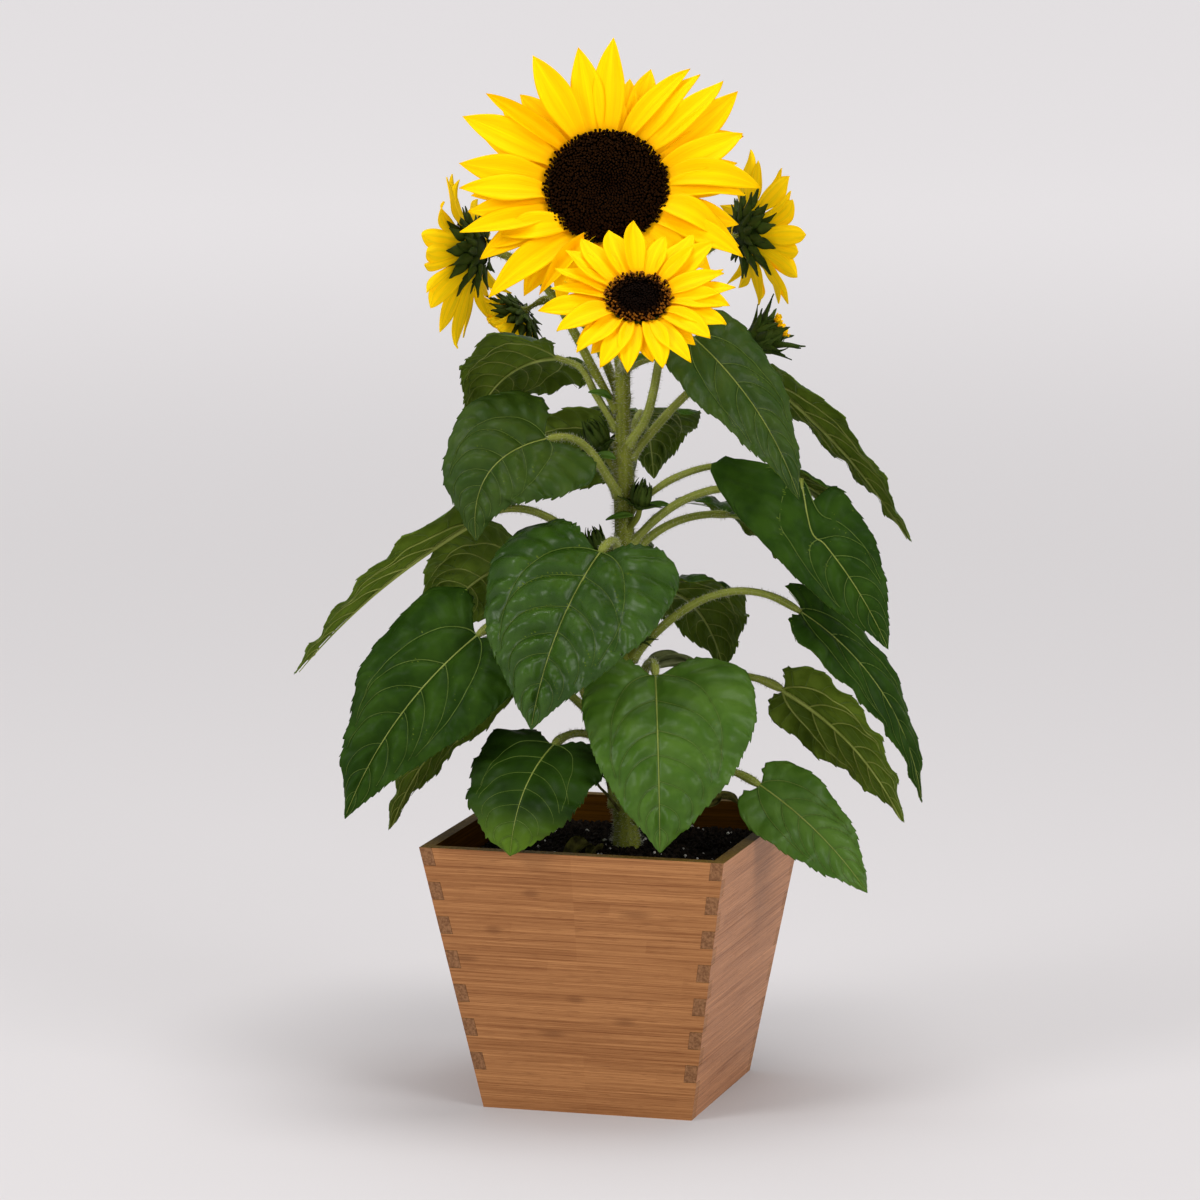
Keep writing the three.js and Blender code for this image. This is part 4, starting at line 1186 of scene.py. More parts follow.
def add_leaf(shapes, blade, veins, top_kind, seed, quilt=1.0):
    """One leaf's two skins and its toothed rim."""
    draw = np.random.default_rng(seed)
    half_columns = int(np.clip(blade.half / (1.75 * MM), 9, 28))
    v = np.linspace(-1, 1, 2 * half_columns + 1)
    v = 0.72 * v + 0.28 * np.sin(v * math.pi / 2)
    start = lobe_edge(v)
    s = blade.even(np.column_stack([np.linspace(0, 1, 201), np.zeros(201)]), 1.15 * MM)[:-1, 0]
    s_grid = start[None] + (1 - start[None]) * s[:, None]
    v_grid = np.broadcast_to(v[None], s_grid.shape)
    flat_s, flat_v = s_grid.ravel(), v_grid.ravel()
    place, normal = blade.place(flat_s, flat_v)
    ranks = [np.concatenate([blade.place(*blade.even(l, 0.7 * MM).T)[0] for l, _, _, r in veins if r in which])
             for which in ((0, 1), (2,), (3,))]
    distances = np.minimum.accumulate([nearest(place, samples) for samples in ranks])
    scale = min(1.0, blade.half / 0.036)
    height = np.zeros(len(place))
    for distance, (reach, amount) in zip(np.maximum(distances - FURROW, 0), QUILT):
        height += amount * scale * quilt * MM * (1 - np.exp(-(distance / (reach * scale * MM)) ** 2))
    height *= 1 + 0.35 * noise(place, 260, seed + 9)
    fade = 1 - 0.45 * smoothstep(0.8, 1.0, np.abs(flat_v))
    place = place + normal * (height * fade)[:, None]
    rib = 0.6 * np.exp(-(distances[0] / (0.9 * MM)) ** 2)
    rib += 0.25 * np.exp(-(distances[1] / (0.7 * MM)) ** 2) + 0.15 * np.exp(-(distances[2] / (0.6 * MM)) ** 2)

    shape = s_grid.shape
    place = place.reshape(*shape, 3)
    normal = normal.reshape(*shape, 3)
    for column, inner in ((0, 1), (-1, -2)):
        saw, depth = teeth(place[:, column], draw)
        depth = depth * scale**0.5 * smoothstep(0.01, 0.06, s) * (1 - 0.75 * smoothstep(0.8, 1.0, s))
        out = unit(place[:, column] - place[:, inner])
        ahead = unit(np.gradient(place[:, column], axis=0))
        push = (saw - 0.45)[:, None] * depth[:, None] * out + (saw * depth * 0.35)[:, None] * ahead
        reach = smoothstep(0.86, 1.0, np.abs(v))
        side = v < 0 if column == 0 else v > 0
        place += push[:, None] * (reach * side)[None, :, None]
    for lobe in (np.arange(half_columns, -1, -1), np.arange(half_columns, len(v))):
        saw, depth = teeth(place[0, lobe], draw)
        across = np.abs(v[lobe])
        depth = depth * scale**0.5 * smoothstep(0.30, 0.5, across) * (1 - smoothstep(0.9, 1.0, across))
        out = unit(place[0, lobe] - place[1, lobe])
        reach = 1 - smoothstep(0.0, 0.045, s)
        place[:, lobe] += ((saw - 0.45) * depth)[None, :, None] * out[None] * reach[:, None, None]
    place = place.reshape(-1, 3)
    normal = normal.reshape(-1, 3)
    count = len(place)
    columns = len(v)
    tip_at = blade.place(np.array([1.0]), np.array([0.0]))[0]
    points = np.concatenate([place + normal * SHEET / 2, place - normal * SHEET / 2, tip_at])
    uv = np.column_stack([0.5 + flat_v / 2, flat_s])
    uv = np.concatenate([uv, uv, [[0.5, 1.0]]])
    ribs = np.concatenate([rib, rib, [0.5]])
    top = grid_faces(shape[0], columns)
    last = (shape[0] - 1) * columns
    tip = 2 * count
    top += [[last + k, last + k + 1, tip] for k in range(columns - 1)]
    under = [[(i + count if i < count else i) for i in face][::-1] for face in top]
    rim = []
    for row in range(shape[0] - 1):
        a, b = row * columns, (row + 1) * columns
        rim.append([a + count, a, b, b + count])
        a, b = a + columns - 1, b + columns - 1
        rim.append([a, a + count, b + count, b])
    rim += [[k + 1, k, k + count, k + 1 + count] for k in range(columns - 1)]
    rim += [[last + count, last, tip], [last + columns - 1, last + columns - 1 + count, tip]]
    base = shapes.count
    shapes.add(points, top, uv, top_kind, ribs)
    shapes.faces.extend([[i + base for i in face] for face in under + rim])
    shapes.kinds.extend([3] * (len(under) + len(rim)))


# Leaves 07, 12 and 14 take the upper skin darkened with painted shade; leaf 18 takes the one whose painted shade
# fades towards its tip.
TOPS = {    # places in the list of finishes; the rest are deep
    "leaf_17": 1, "leaf_19": 1, "leaf_02": 2, "leaf_05": 2, "leaf_18": 4, "leaf_07": 5, "leaf_12": 5, "leaf_14": 5,
}
PUFF = {"leaf_11": 1.1, "leaf_17": 0.65, "leaf_18": 0.3, "leaf_19": 0.4, "leaf_05": 0.75}    # height of the quilt
GROUPS = {
    "leaves_high": [f"leaf_{n:02d}" for n in (1, 2, 3, 4, 5, 6, 23, 24)],
    "leaves_middle": [f"leaf_{n:02d}" for n in (7, 8, 9, 10, 11, 15, 20, 14)],
    "leaves_low": [f"leaf_{n:02d}" for n in (12, 13, 16, 17, 18, 19, 21, 22)],
}
LEAF_FINISHES = [LEAF_TOPS["deep"], LEAF_TOPS["fresh"], LEAF_TOPS["grey"], LEAF_UNDER, LEAF_TOPS["painted_shade_tipped"],
                 LEAF_TOPS["painted_shade"]]
VEIN_SIDES = {    # for each rank of vein: net, upper (1) or under side (-1), share of its thickness, rise in mm
    0: (("midribs", 1, 0.50, 0.52), ("midribs", -1, 1.0, 1.15)),
    1: (("side_veins", 1, 0.50, 0.56), ("midribs", -1, 0.9, 0.55)),
    2: (("side_veins", -1, 0.85, 0.24),), 3: (("side_veins", -1, 0.8, 0.12),),
}
nets = {"midribs": ([], [], []), "side_veins": ([], [], [])}    # points, edges and radii of each net of veins
for group, members in GROUPS.items():
    shapes = Shapes()
    for name in members:
        seed = int(name[-2:])
        blade = Blade(name, seed)
        veins = vein_pattern(seed + 100)
        add_leaf(shapes, blade, veins, TOPS.get(name, 0), seed + 200, PUFF.get(name, 0.85))
        scale = blade.length / 0.11
        for line, first, last, rank in veins:
            sparse = blade.even(line, (2.3 if rank < 2 else 2.9) * MM)
            sparse[:, 0] = np.maximum(sparse[:, 0], lobe_edge(sparse[:, 1]) + 0.03 * np.abs(sparse[:, 1]) ** 3)
            at, normal = blade.place(sparse[:, 0], sparse[:, 1])
            radius = np.linspace(first, last, len(at)) * (scale**0.5 if rank < 2 else 1.0) * MM
            for net, side, thick, proud in VEIN_SIDES[rank]:
                wide = np.maximum(radius * thick, 0.11 * MM)
                under = np.maximum(proud * MM, 2 * wide - 0.9 * SHEET)
                rise = np.minimum(proud * MM, 1.25 * wide + 0.14 * MM) if side > 0 else under
                height = side * (SHEET / 2 + rise - wide)
                net_points, net_edges, net_radii = nets[net]
                base = sum(len(p) for p in net_points)
                net_edges += [(base + i, base + i + 1) for i in range(len(at) - 1)]
                net_points.append(at + normal * height[:, None])
                net_radii.append(wide)
    piece(group, shapes.mesh(group, LEAF_FINISHES), members)


# %% Veins as tubes, run along their lines by a tree
def build_tubes():
    tree, given, result = new_group(
        "Tubes along lines", "GeometryNodeTree",
        [("Geometry", GEOMETRY, None), ("Sides", WHOLE, 5), ("Material", MATERIAL, None)],
        [("Geometry", GEOMETRY)],
    )
    curve = add_node(tree, "GeometryNodeMeshToCurve", {"Mesh": given["Geometry"]})
    radius = add_node(tree, "GeometryNodeInputNamedAttribute", {"Name": "radius"}, data_type="FLOAT")
    profile = add_node(tree, "GeometryNodeCurvePrimitiveCircle", {
        "Resolution": given["Sides"], "Radius": 1.0})
    tube = add_node(tree, "GeometryNodeCurveToMesh", {
        "Curve": curve.outputs[0], "Profile Curve": profile.outputs[0], "Scale": radius.outputs[0],
        "Fill Caps": True})
    shaded = add_node(tree, "GeometryNodeSetShadeSmooth", {"Geometry": tube.outputs[0]})
    painted = add_node(tree, "GeometryNodeSetMaterial", {
        "Geometry": shaded.outputs[0], "Material": given["Material"]})
    tree.links.new(painted.outputs[0], result[0])
    return tree


TUBES = build_tubes()
for (net, (net_points, net_edges, net_radii)), finish in zip(nets.items(), (VEIN, THIN_VEIN)):
    lines = bpy.data.meshes.new(net + "_lines")
    lines.from_pydata(np.concatenate(net_points).tolist(), net_edges, [])
    lines.attributes.new("radius", "FLOAT", "POINT").data.foreach_set("value", np.concatenate(net_radii))
    source = helper_object(net + "_source", lines)
    mesh = grown(source, TUBES, Sides=6 if net == "midribs" else 4, Material=finish)
    mesh.name = "leaf_" + net
    bpy.data.objects.remove(source)
    piece("leaf_" + net, mesh)
    print(net, len(mesh.polygons), "faces")

# %% [markdown]
# ## Blooms
# A bloom is a disc of hundreds of tiny florets ringed by rays, with a cup of green bracts behind. Each
# one grows in its own frame: right and up across its face, and out along the way it looks. The frame
# and the disc's radius come from the two points where the bloom's CAD solid closes.

# %% The frame of each bloom
class Head:
    """A flower head's own directions: right, up and out along the way it faces."""

    def __init__(self, centre, facing):
        self.centre, self.facing = centre, facing
        self.right = -unit(np.cross(facing, [0, 0, 1.0]))
        self.up = np.cross(facing, self.right)

    def at(self, clockwise, radius, height):
        """Points from angles clockwise from the top, distances from the axis and heights over the face."""
        angle = np.radians(clockwise)
        return (
            self.centre
            + np.multiply.outer(radius * np.sin(angle), self.right)
            + np.multiply.outer(radius * np.cos(angle), self.up)
            + np.multiply.outer(height, self.facing)
        )


class Bloom(Head):
    def __init__(self, name):
        points, links = welded(name)
        order = sorted(range(len(points)), key=lambda i: -len(links[i]))[:2]
        spread = [np.linalg.norm(points[links[i]] - points[i], axis=1).mean() for i in order]
        back, front = points[order[int(np.argmin(spread))]], points[order[int(np.argmax(spread))]]
        facing = unit(front - back)
        self.disc = np.linalg.norm(front - back) / 0.70
        shift = 7 * MM if name in ("bloom_right", "bloom_left") else 0
        super().__init__(front - facing * (0.08 * self.disc + shift), facing)
        away = points - self.centre
        flat = away - np.outer(away @ self.facing, self.facing)
        self.reach = np.sort(np.linalg.norm(flat, axis=1))[-max(5, len(points) // 20):].mean()


BLOOMS = {name: Bloom(name) for name in names("bloom_")}
for name, bloom in BLOOMS.items():
    print(name, "disc", round(bloom.disc * 1000, 1), "reach", round(bloom.reach * 1000, 1), "mm")

# %% [markdown]
# A ray is a long petal: narrow at its claw, widest past the middle and pointed at its tip, with two or
# three furrows along it. It leaves the disc at one angle and ends at another, so rays can lean, cross
# and curl. Both its skins are modelled: the back is paler and more strongly lined.

# %% Grow one ray
RAY_ROWS, RAY_COLUMNS = 18, 9


def ray_width(u):
    """Half width of a ray from claw (0) to tip (1), as a share of its widest."""
    claw = 0.36 + 0.64 * np.sin(math.pi / 2 * np.clip(u / 0.48, 0, 1)) ** 1.1
    point = 1 - np.clip((u - 0.48) / 0.52, 0, 1) ** 1.9 * 0.985
    return np.where(u < 0.48, claw, point)


def add_ray(shapes, bloom, draw, start, end, reach, half, height, cup, droop, arch, hang, roll):
    """One ray; start and end are clockwise angles in degrees, roll is a share of its width, the rest is in mm."""
    u = np.linspace(0, 1, RAY_ROWS) ** 0.9
    disc = bloom.disc / MM
    a, b = np.radians(start), np.radians(end)
    foot = np.array([math.sin(a), math.cos(a)]) * disc * 0.86
    tip = np.array([math.sin(b), math.cos(b)]) * reach
    side_way = np.array([tip[1] - foot[1], foot[0] - tip[0]])
    bow = draw.uniform(-0.05, 0.05) * 4 * u * (1 - u)
    flat = foot + (tip - foot) * u[:, None] + side_way * bow[:, None]
    away = np.linalg.norm(flat, axis=1)
    turn = np.degrees(np.arctan2(flat[:, 0], flat[:, 1]))
    low = (1 - np.cos(np.radians(turn))) / 2
    share = np.clip((away - disc) / max(bloom.reach / MM - disc, 1), 0, 1.2)
    rise = (
        -0.16 * disc * (1 - smoothstep(0, 0.12, u)) + height + cup * share**1.3 + arch * 4 * u * (1 - u)
        - droop * u**2.2 - hang * low * share**1.6
    )
    middle = bloom.at(turn, away * MM, rise * MM)
    ahead = unit(np.gradient(middle, axis=0))
    side = unit(np.cross(ahead, bloom.facing))
    normal = unit(np.cross(side, ahead))
    twist = draw.uniform(-0.28, 0.28) + draw.uniform(-0.35, 0.35) * u
    side, normal = (
        side * np.cos(twist)[:, None] + normal * np.sin(twist)[:, None],
        normal * np.cos(twist)[:, None] - side * np.sin(twist)[:, None],
    )
    across = np.linspace(-1, 1, RAY_COLUMNS)
    width = ray_width(u) * half * (1 + 0.05 * np.sin(7 * u + draw.uniform(0, 6)))
    offset = width[:, None] * np.sin(across * 1.25)[None] / math.sin(1.25)
    furrow = 0.42 * np.cos(3 * math.pi * across)[None] * (0.4 + 0.6 * np.sin(math.pi * u))[:, None]
    fold = roll * width[:, None] * (np.abs(across) ** 1.6)[None]
    ripple = 0.9 * (across**2)[None] * np.sin(2 * math.pi * (1.3 * u + draw.uniform()))[:, None]
    lift = furrow + fold + ripple * draw.uniform(0.3, 1.2)
    points = middle[:, None] + (side[:, None] * offset[..., None] + normal[:, None] * lift[..., None]) * MM
    points = points.reshape(-1, 3)
    thick = np.repeat(normal, RAY_COLUMNS, 0) * 0.14 * MM
    v_across = np.broadcast_to(0.5 + 0.5 * across[None], offset.shape) + draw.integers(0, 40)
    uv = np.column_stack([v_across.ravel(), np.repeat(u, RAY_COLUMNS)])
    crease = np.broadcast_to(0.5 - 0.5 * np.cos(3 * math.pi * across), offset.shape).ravel()
    face, rest = sheet_faces(RAY_ROWS, RAY_COLUMNS)
    base = shapes.count
    shapes.add(np.concatenate([points + thick, points - thick]), face, np.concatenate([uv, uv]), 0,
               np.concatenate([crease, crease]))
    shapes.faces.extend([[i + base for i in f] for f in rest])
    shapes.kinds.extend([1] * len(rest))


# %% [markdown]
# The big bloom's rays are listed one by one, since their gaps, leans and crossings give it its face.
# The smaller blooms deal out a round of rays with a seeded sway in angle, length and curl.

# %% Rays of the big bloom
FRONT_RAYS = (      # angle at the foot, angle at the tip, reach, half width, arch, droop
    (3, 3, 83, 8.6, 1, 3), (-11, -10, 80, 8.2, 1, 4), (-24, -27, 83, 8.3, 2, 4), (-40, -50, 81, 5.2, 2, 0),
    (-58, -61, 85, 9.0, 2, 5), (-77, -78, 78, 8.5, 1, 5), (-95, -89, 76, 7.5, 2, 4), (-115, -106, 79, 8.5, 1, 4),
    (-138, -113, 60, 8.0, 3, 6), (-150, -133, 84, 8.5, 1, 4), (-166, -149, 68, 4.6, 2, 2),
    (-176, -168, 70, 7.0, 2, 4), (17, 34, 79, 6.0, 1, 3), (30, 38, 80, 7.0, 2, 3),
    (42, 46, 85, 7.5, 2, 4), (57, 52, 87, 8.5, 1, 4), (74, 67, 77, 9.0, 2, 4), (82, 88, 80, 8.0, 5, 9),
    (94, 92, 72, 7.0, 2, 6), (106, 113, 68, 7.5, 6, 9),
    (126, 118, 79, 8.0, 2, 5), (140, 136, 66, 8.0, 2, 6), (156, 152, 64, 7.0, 2, 5), (172, 170, 66, 7.0, 2, 5),
)
BACK_RAYS = (
    (-17, 58), (4, 58), (15, 66), (36, 72), (-46, 66), (-64, 72), (-112, 68), (76, 70), (92, 62), (120, 64),
    (-34, 72), (-52, 75), (-70, 70), (-100, 72), (-122, 74), (-142, 70), (24, 74), (50, 76), (64, 78), (84, 70),
    (100, 70), (112, 74), (132, 68), (150, 68), (164, 66), (-172, 66), (-156, 66), (-5, 62), (10, 60), (-86, 70),
)
draw = np.random.default_rng(17)
ray_shapes = Shapes()
main = BLOOMS["bloom_main"]
for turn, reach in BACK_RAYS:
    end = turn + draw.uniform(-6, 6)
    add_ray(ray_shapes, main, draw, turn, end, reach, draw.uniform(6.8, 8.4), -3.2 - draw.uniform(0, 2.5), 7, 5, 1.5,
            16, 0.22)
for number, (start, end, reach, half, arch, droop) in enumerate(FRONT_RAYS):
    thin = half < 5.5
    add_ray(ray_shapes, main, draw, start, end, reach, half, -1.2 - (number % 2) * 1.2, 10, droop, arch + 1.5,
            16, 1.3 if thin else draw.uniform(0.12, 0.4))
piece("rays_main", ray_shapes.mesh("rays_main", [RAY_FACE, RAY_BACK]))

# %% Rays of the smaller blooms
SMALL_FRONT = (
    (-2, 49.7), (19, 44), (35, 50), (49, 52), (73, 46), (84, 50), (98, 47), (112, 48), (128, 46), (149, 51),
    (166, 49), (-173, 49), (-156, 49), (-139, 48), (-118, 47), (-101, 52), (-81, 45), (-66, 46), (-50, 48),
    (-36, 49), (-18, 47),
)
small_shapes = Shapes()
front = BLOOMS["bloom_front"]
for number, (turn, reach) in enumerate(SMALL_FRONT):
    start = turn + draw.uniform(-4, 4)
    add_ray(small_shapes, front, draw, start, turn, reach, draw.uniform(6.2, 7.6), -0.5 - 0.8 * (number % 2),
            5 + 4 * math.cos(math.radians(turn)),
            draw.uniform(1, 4), 1.5, 0, draw.uniform(0.1, 0.45))
    back_turn = turn + 9 + draw.uniform(-3, 3)
    add_ray(small_shapes, front, draw, back_turn, back_turn + draw.uniform(-4, 4), reach - draw.uniform(2, 8),
            draw.uniform(5.2, 6.2), -3.2, 3, 3, 1, 0, 0.2)
for name, count, half, cup, longer_below in (
    ("bloom_right", 20, 5.8, 12, 0.0), ("bloom_left", 19, 5.8, 10, 0.22), ("bloom_low_left", 15, 4.8, 12, 0.0),
):
    bloom = BLOOMS[name]
    top = bloom.reach / MM
    for number in range(count):
        turn = 360 * number / count + draw.uniform(-6, 6)
        thin = draw.uniform() < 0.14
        long = top * (1 + longer_below * max(0.0, -math.cos(math.radians(turn))))
        add_ray(
            small_shapes, bloom, draw, turn, turn + draw.uniform(-12, 12), long * draw.uniform(0.86, 1.08),
            half * (0.5 if thin else draw.uniform(0.85, 1.12)), -0.6 - 1.6 * (number % 2), cup + draw.uniform(-4, 4),
            draw.uniform(0, 7), draw.uniform(0, 4), 0, 1.2 if thin else draw.uniform(0.1, 0.5),
        )
piece("rays_small", small_shapes.mesh("rays_small", [RAY_FACE, RAY_BACK]))

# %% [markdown]
# ## Discs
# Florets sit on a disc in the spiral of a seed head: each one 137.5 degrees on from the one before, at
# a distance that grows with the square root of its number. A tree deals them out, leans them outwards
# near the edge, and makes the outer ones taller and looser than those in the middle.

# %% A tree that lays out a seed head
def floret_mesh(name, sides=6):
    """A small tube that flares into a cup with a pointed middle, one unit high."""
    profile = ((0.30, 0.0), (0.34, 0.55), (0.52, 0.86), (0.30, 1.0), (0.10, 0.84))
    turn = np.linspace(0, 2 * math.pi, sides, endpoint=False)
    points, uv = [], []
    for radius, height in profile:
        star = radius * (1 + (0.22 if 0.5 < radius else 0) * np.cos(turn * sides / 2))
        points += [(r * math.cos(a), r * math.sin(a), height) for r, a in zip(star, turn)]
        uv += [(a / 6.28, height) for a in turn]
    shapes = Shapes()
    faces = grid_faces(len(profile), sides, closed=True)
    last = (len(profile) - 1) * sides
    faces += [[last + k for k in range(sides)], [k for k in range(sides)][::-1]]
    shapes.add(points, faces, uv)
    return shapes.mesh(name, [])


def build_seed_head():
    tree, given, result = new_group(
        "Seed head", "GeometryNodeTree",
        [("Geometry", GEOMETRY, None), ("Floret", OBJECT, None), ("Material", MATERIAL, None),
         ("Count", WHOLE, 500), ("First", WHOLE, 0), ("Radius", FLOAT, 0.02),
         ("Crown", FLOAT, 0.003), ("Dimple", FLOAT, 0.001),
         ("Inner Height", FLOAT, 0.001), ("Outer Height", FLOAT, 0.002), ("Width", FLOAT, 0.0012),
         ("Mess", FLOAT, 0.3), ("Seed", WHOLE, 1)],
        [("Geometry", GEOMETRY)],
    )
    line = add_node(tree, "GeometryNodeMeshLine", {"Count": given["Count"]})
    number = add_node(tree, "GeometryNodeInputIndex").outputs[0]
    shifted = maths(tree, "ADD", number, given["First"])
    total = maths(tree, "ADD", given["Count"], given["First"])
    share = maths(tree, "SQRT", maths(tree, "DIVIDE", maths(tree, "ADD", shifted, 0.5), total))
    angle = maths(tree, "MULTIPLY", shifted, math.radians(137.50776))
    away = maths(tree, "MULTIPLY", share, given["Radius"])
    falling = maths(tree, "SUBTRACT", 1.0, maths(tree, "POWER", share, 3.0))
    dome = maths(tree, "MULTIPLY", falling, given["Crown"])
    inside = maths(tree, "MAXIMUM", maths(tree, "SUBTRACT", 1.0, maths(tree, "MULTIPLY", share, 2.2)), 0.0)
    pit = maths(tree, "MULTIPLY", maths(tree, "POWER", inside, 1.5), given["Dimple"])
    height = maths(tree, "SUBTRACT", dome, pit)
    cosine, sine = maths(tree, "COSINE", angle), maths(tree, "SINE", angle)
    place = triple(tree, maths(tree, "MULTIPLY", away, cosine), maths(tree, "MULTIPLY", away, sine), height)
    laid = add_node(tree, "GeometryNodeSetPosition", {"Geometry": line.outputs[0], "Position": place})
    lean = maths(tree, "MULTIPLY", maths(tree, "POWER", share, 4.0), 0.85)
    low = maths(tree, "MULTIPLY", given["Mess"], -1.0)
    jitter = chance(
        tree, triple(tree, low, low), triple(tree, given["Mess"], given["Mess"]), given["Seed"], "FLOAT_VECTOR")
    aim = triple(tree, maths(tree, "MULTIPLY", lean, cosine), maths(tree, "MULTIPLY", lean, sine), 1.0)
    messy = add_node(tree, "ShaderNodeVectorMath", {0: aim, 1: jitter}, operation="ADD")
    turn = add_node(tree, "FunctionNodeAlignRotationToVector", {"Vector": messy.outputs[0]}, axis="Z")
    span = maths(tree, "SUBTRACT", given["Outer Height"], given["Inner Height"])
    tall = maths(tree, "MULTIPLY_ADD", maths(tree, "POWER", share, 2.0), span, given["Inner Height"])
    ragged = chance(tree, 0.7, 1.3, given["Seed"])
    wide = maths(tree, "MULTIPLY", given["Width"], maths(tree, "MULTIPLY_ADD", share, 0.35, 0.72))
    size = triple(tree, wide, wide, maths(tree, "MULTIPLY", tall, ragged))
    set_out(tree, given, result, laid.outputs[0], "Floret", turn.outputs[0], size)
    return tree


SEED_HEAD = build_seed_head()


def on_bloom(mesh, bloom, height=0.0):
    """Moves a mesh made round the world's z axis onto a bloom's face."""
    turn = Matrix((bloom.right, bloom.up, bloom.facing)).transposed().to_4x4()
    mesh.transform(Matrix.Translation(Vector(bloom.centre + bloom.facing * height)) @ turn)
    return mesh


floret = helper_object("floret", floret_mesh("floret"))
blank = bpy.data.meshes.new("blank")
blank.from_pydata([(0, 0, 0)], [], [])
holder = helper_object("holder", blank)
heads = {"disc_main": [], "floret_cores": [], "floret_darks": [], "floret_opens": []}
ROUNDS = {    # florets, number of the first, reach as a share of the disc, finish, crown, inner and outer
              # height and width in mm, mess and seed
    "bloom_main": ((1500, 0, 1.0, DARK_FLORET, 2.0, 1.2, 2.9, 1.5, 0.28, 7),),
    "bloom_front": (
        (190, 0, 0.637, CORE_FLORET, 1.5, 1.2, 1.8, 1.6, 0.2, 9),
        (140, 190, 0.84, DARK_FLORET, 1.5, 1.8, 2.2, 1.6, 0.25, 17),
        (190, 330, 1.0, OPEN_FLORET, 1.5, 1.6, 3.2, 1.2, 0.5, 10)),
    "bloom_right": (
        (170, 0, 0.85, DARK_FLORET, 1.5, 1.0, 2.0, 1.9, 0.2, 11),
        (90, 170, 1.0, OPEN_FLORET, 1.5, 1.6, 3.0, 1.3, 0.5, 12)),
    "bloom_left": (
        (170, 0, 0.85, DARK_FLORET, 1.5, 1.0, 2.0, 1.9, 0.2, 13),
        (90, 170, 1.0, OPEN_FLORET, 1.5, 1.6, 3.0, 1.3, 0.5, 14)),
    "bloom_low_left": (
        (130, 0, 0.85, DARK_FLORET, 1.2, 1.0, 1.8, 1.7, 0.2, 15),
        (70, 130, 1.0, OPEN_FLORET, 1.2, 1.4, 2.6, 1.2, 0.5, 16)),
}
for name, rounds in ROUNDS.items():
    bloom = BLOOMS[name]
    for count, first, share, finish, crown, inner, outer, width, mess, seed in rounds:
        mesh = grown(
            holder, SEED_HEAD, Floret=floret, Material=finish, Count=count, First=first, Radius=bloom.disc * share,
            Crown=crown * MM * bloom.disc / 0.016, Dimple=0.12 * bloom.disc, **{"Inner Height": inner * MM,
            "Outer Height": outer * MM}, Width=width * MM, Mess=mess, Seed=seed,
        )
        mesh.materials.clear()
        mesh.materials.append(finish)
        mesh.polygons.foreach_set("material_index", [0] * len(mesh.polygons))
        heads["disc_main" if name == "bloom_main" else finish.name + "s"].append(on_bloom(mesh, bloom, -0.4 * MM))
for label, meshes in heads.items():
    piece(label, joined(label, meshes))
bpy.data.objects.remove(floret)

# %% [markdown]
# ## Receptacles and bracts
# Under each disc a green receptacle carries the florets and narrows to the stalk. Rows of pointed
# bracts leave its rim and press against the backs of the rays. A tree sets one bract after another
# round a ring; the buds use the same tree with their bracts closed over the top.

# %% A tree that rings a head with bracts
def bract_mesh(name, inward=0.0, rows=9, columns=5):
    """A pointed scale one unit long, hollow on its inner side; inward bends its tip over."""
    u = np.linspace(0, 1, rows)
    across = np.linspace(-1, 1, columns)
    width = 0.17 * np.sqrt(np.clip(1 - u, 0, 1)) * (0.8 + 0.5 * np.sin(math.pi * np.clip(u * 1.4, 0, 1))) + 0.004
    x = width[:, None] * across[None]
    hollow = 0.10 * (across**2)[None] * np.sin(math.pi * np.clip(u + 0.15, 0, 1))[:, None]
    y = -(inward * u**2)[:, None] - hollow
    z = np.broadcast_to((u - 0.25 * inward * u**2)[:, None], x.shape)
    face = np.stack([x, y, z], -1).reshape(-1, 3)
    thick = np.array([0, 0.022, 0])
    outer, rest = sheet_faces(rows, columns)
    uv = np.column_stack([np.broadcast_to(0.5 + across / 2, x.shape).ravel(), np.repeat(u, columns)])
    shapes = Shapes()
    rib = 1 - np.abs(np.broadcast_to(across, x.shape)).ravel()
    shapes.add(np.concatenate([face - thick, face + thick]), outer + rest,
               np.concatenate([uv, uv]), 0, np.concatenate([rib, rib]))
    return shapes.mesh(name, [BRACT_SKIN])


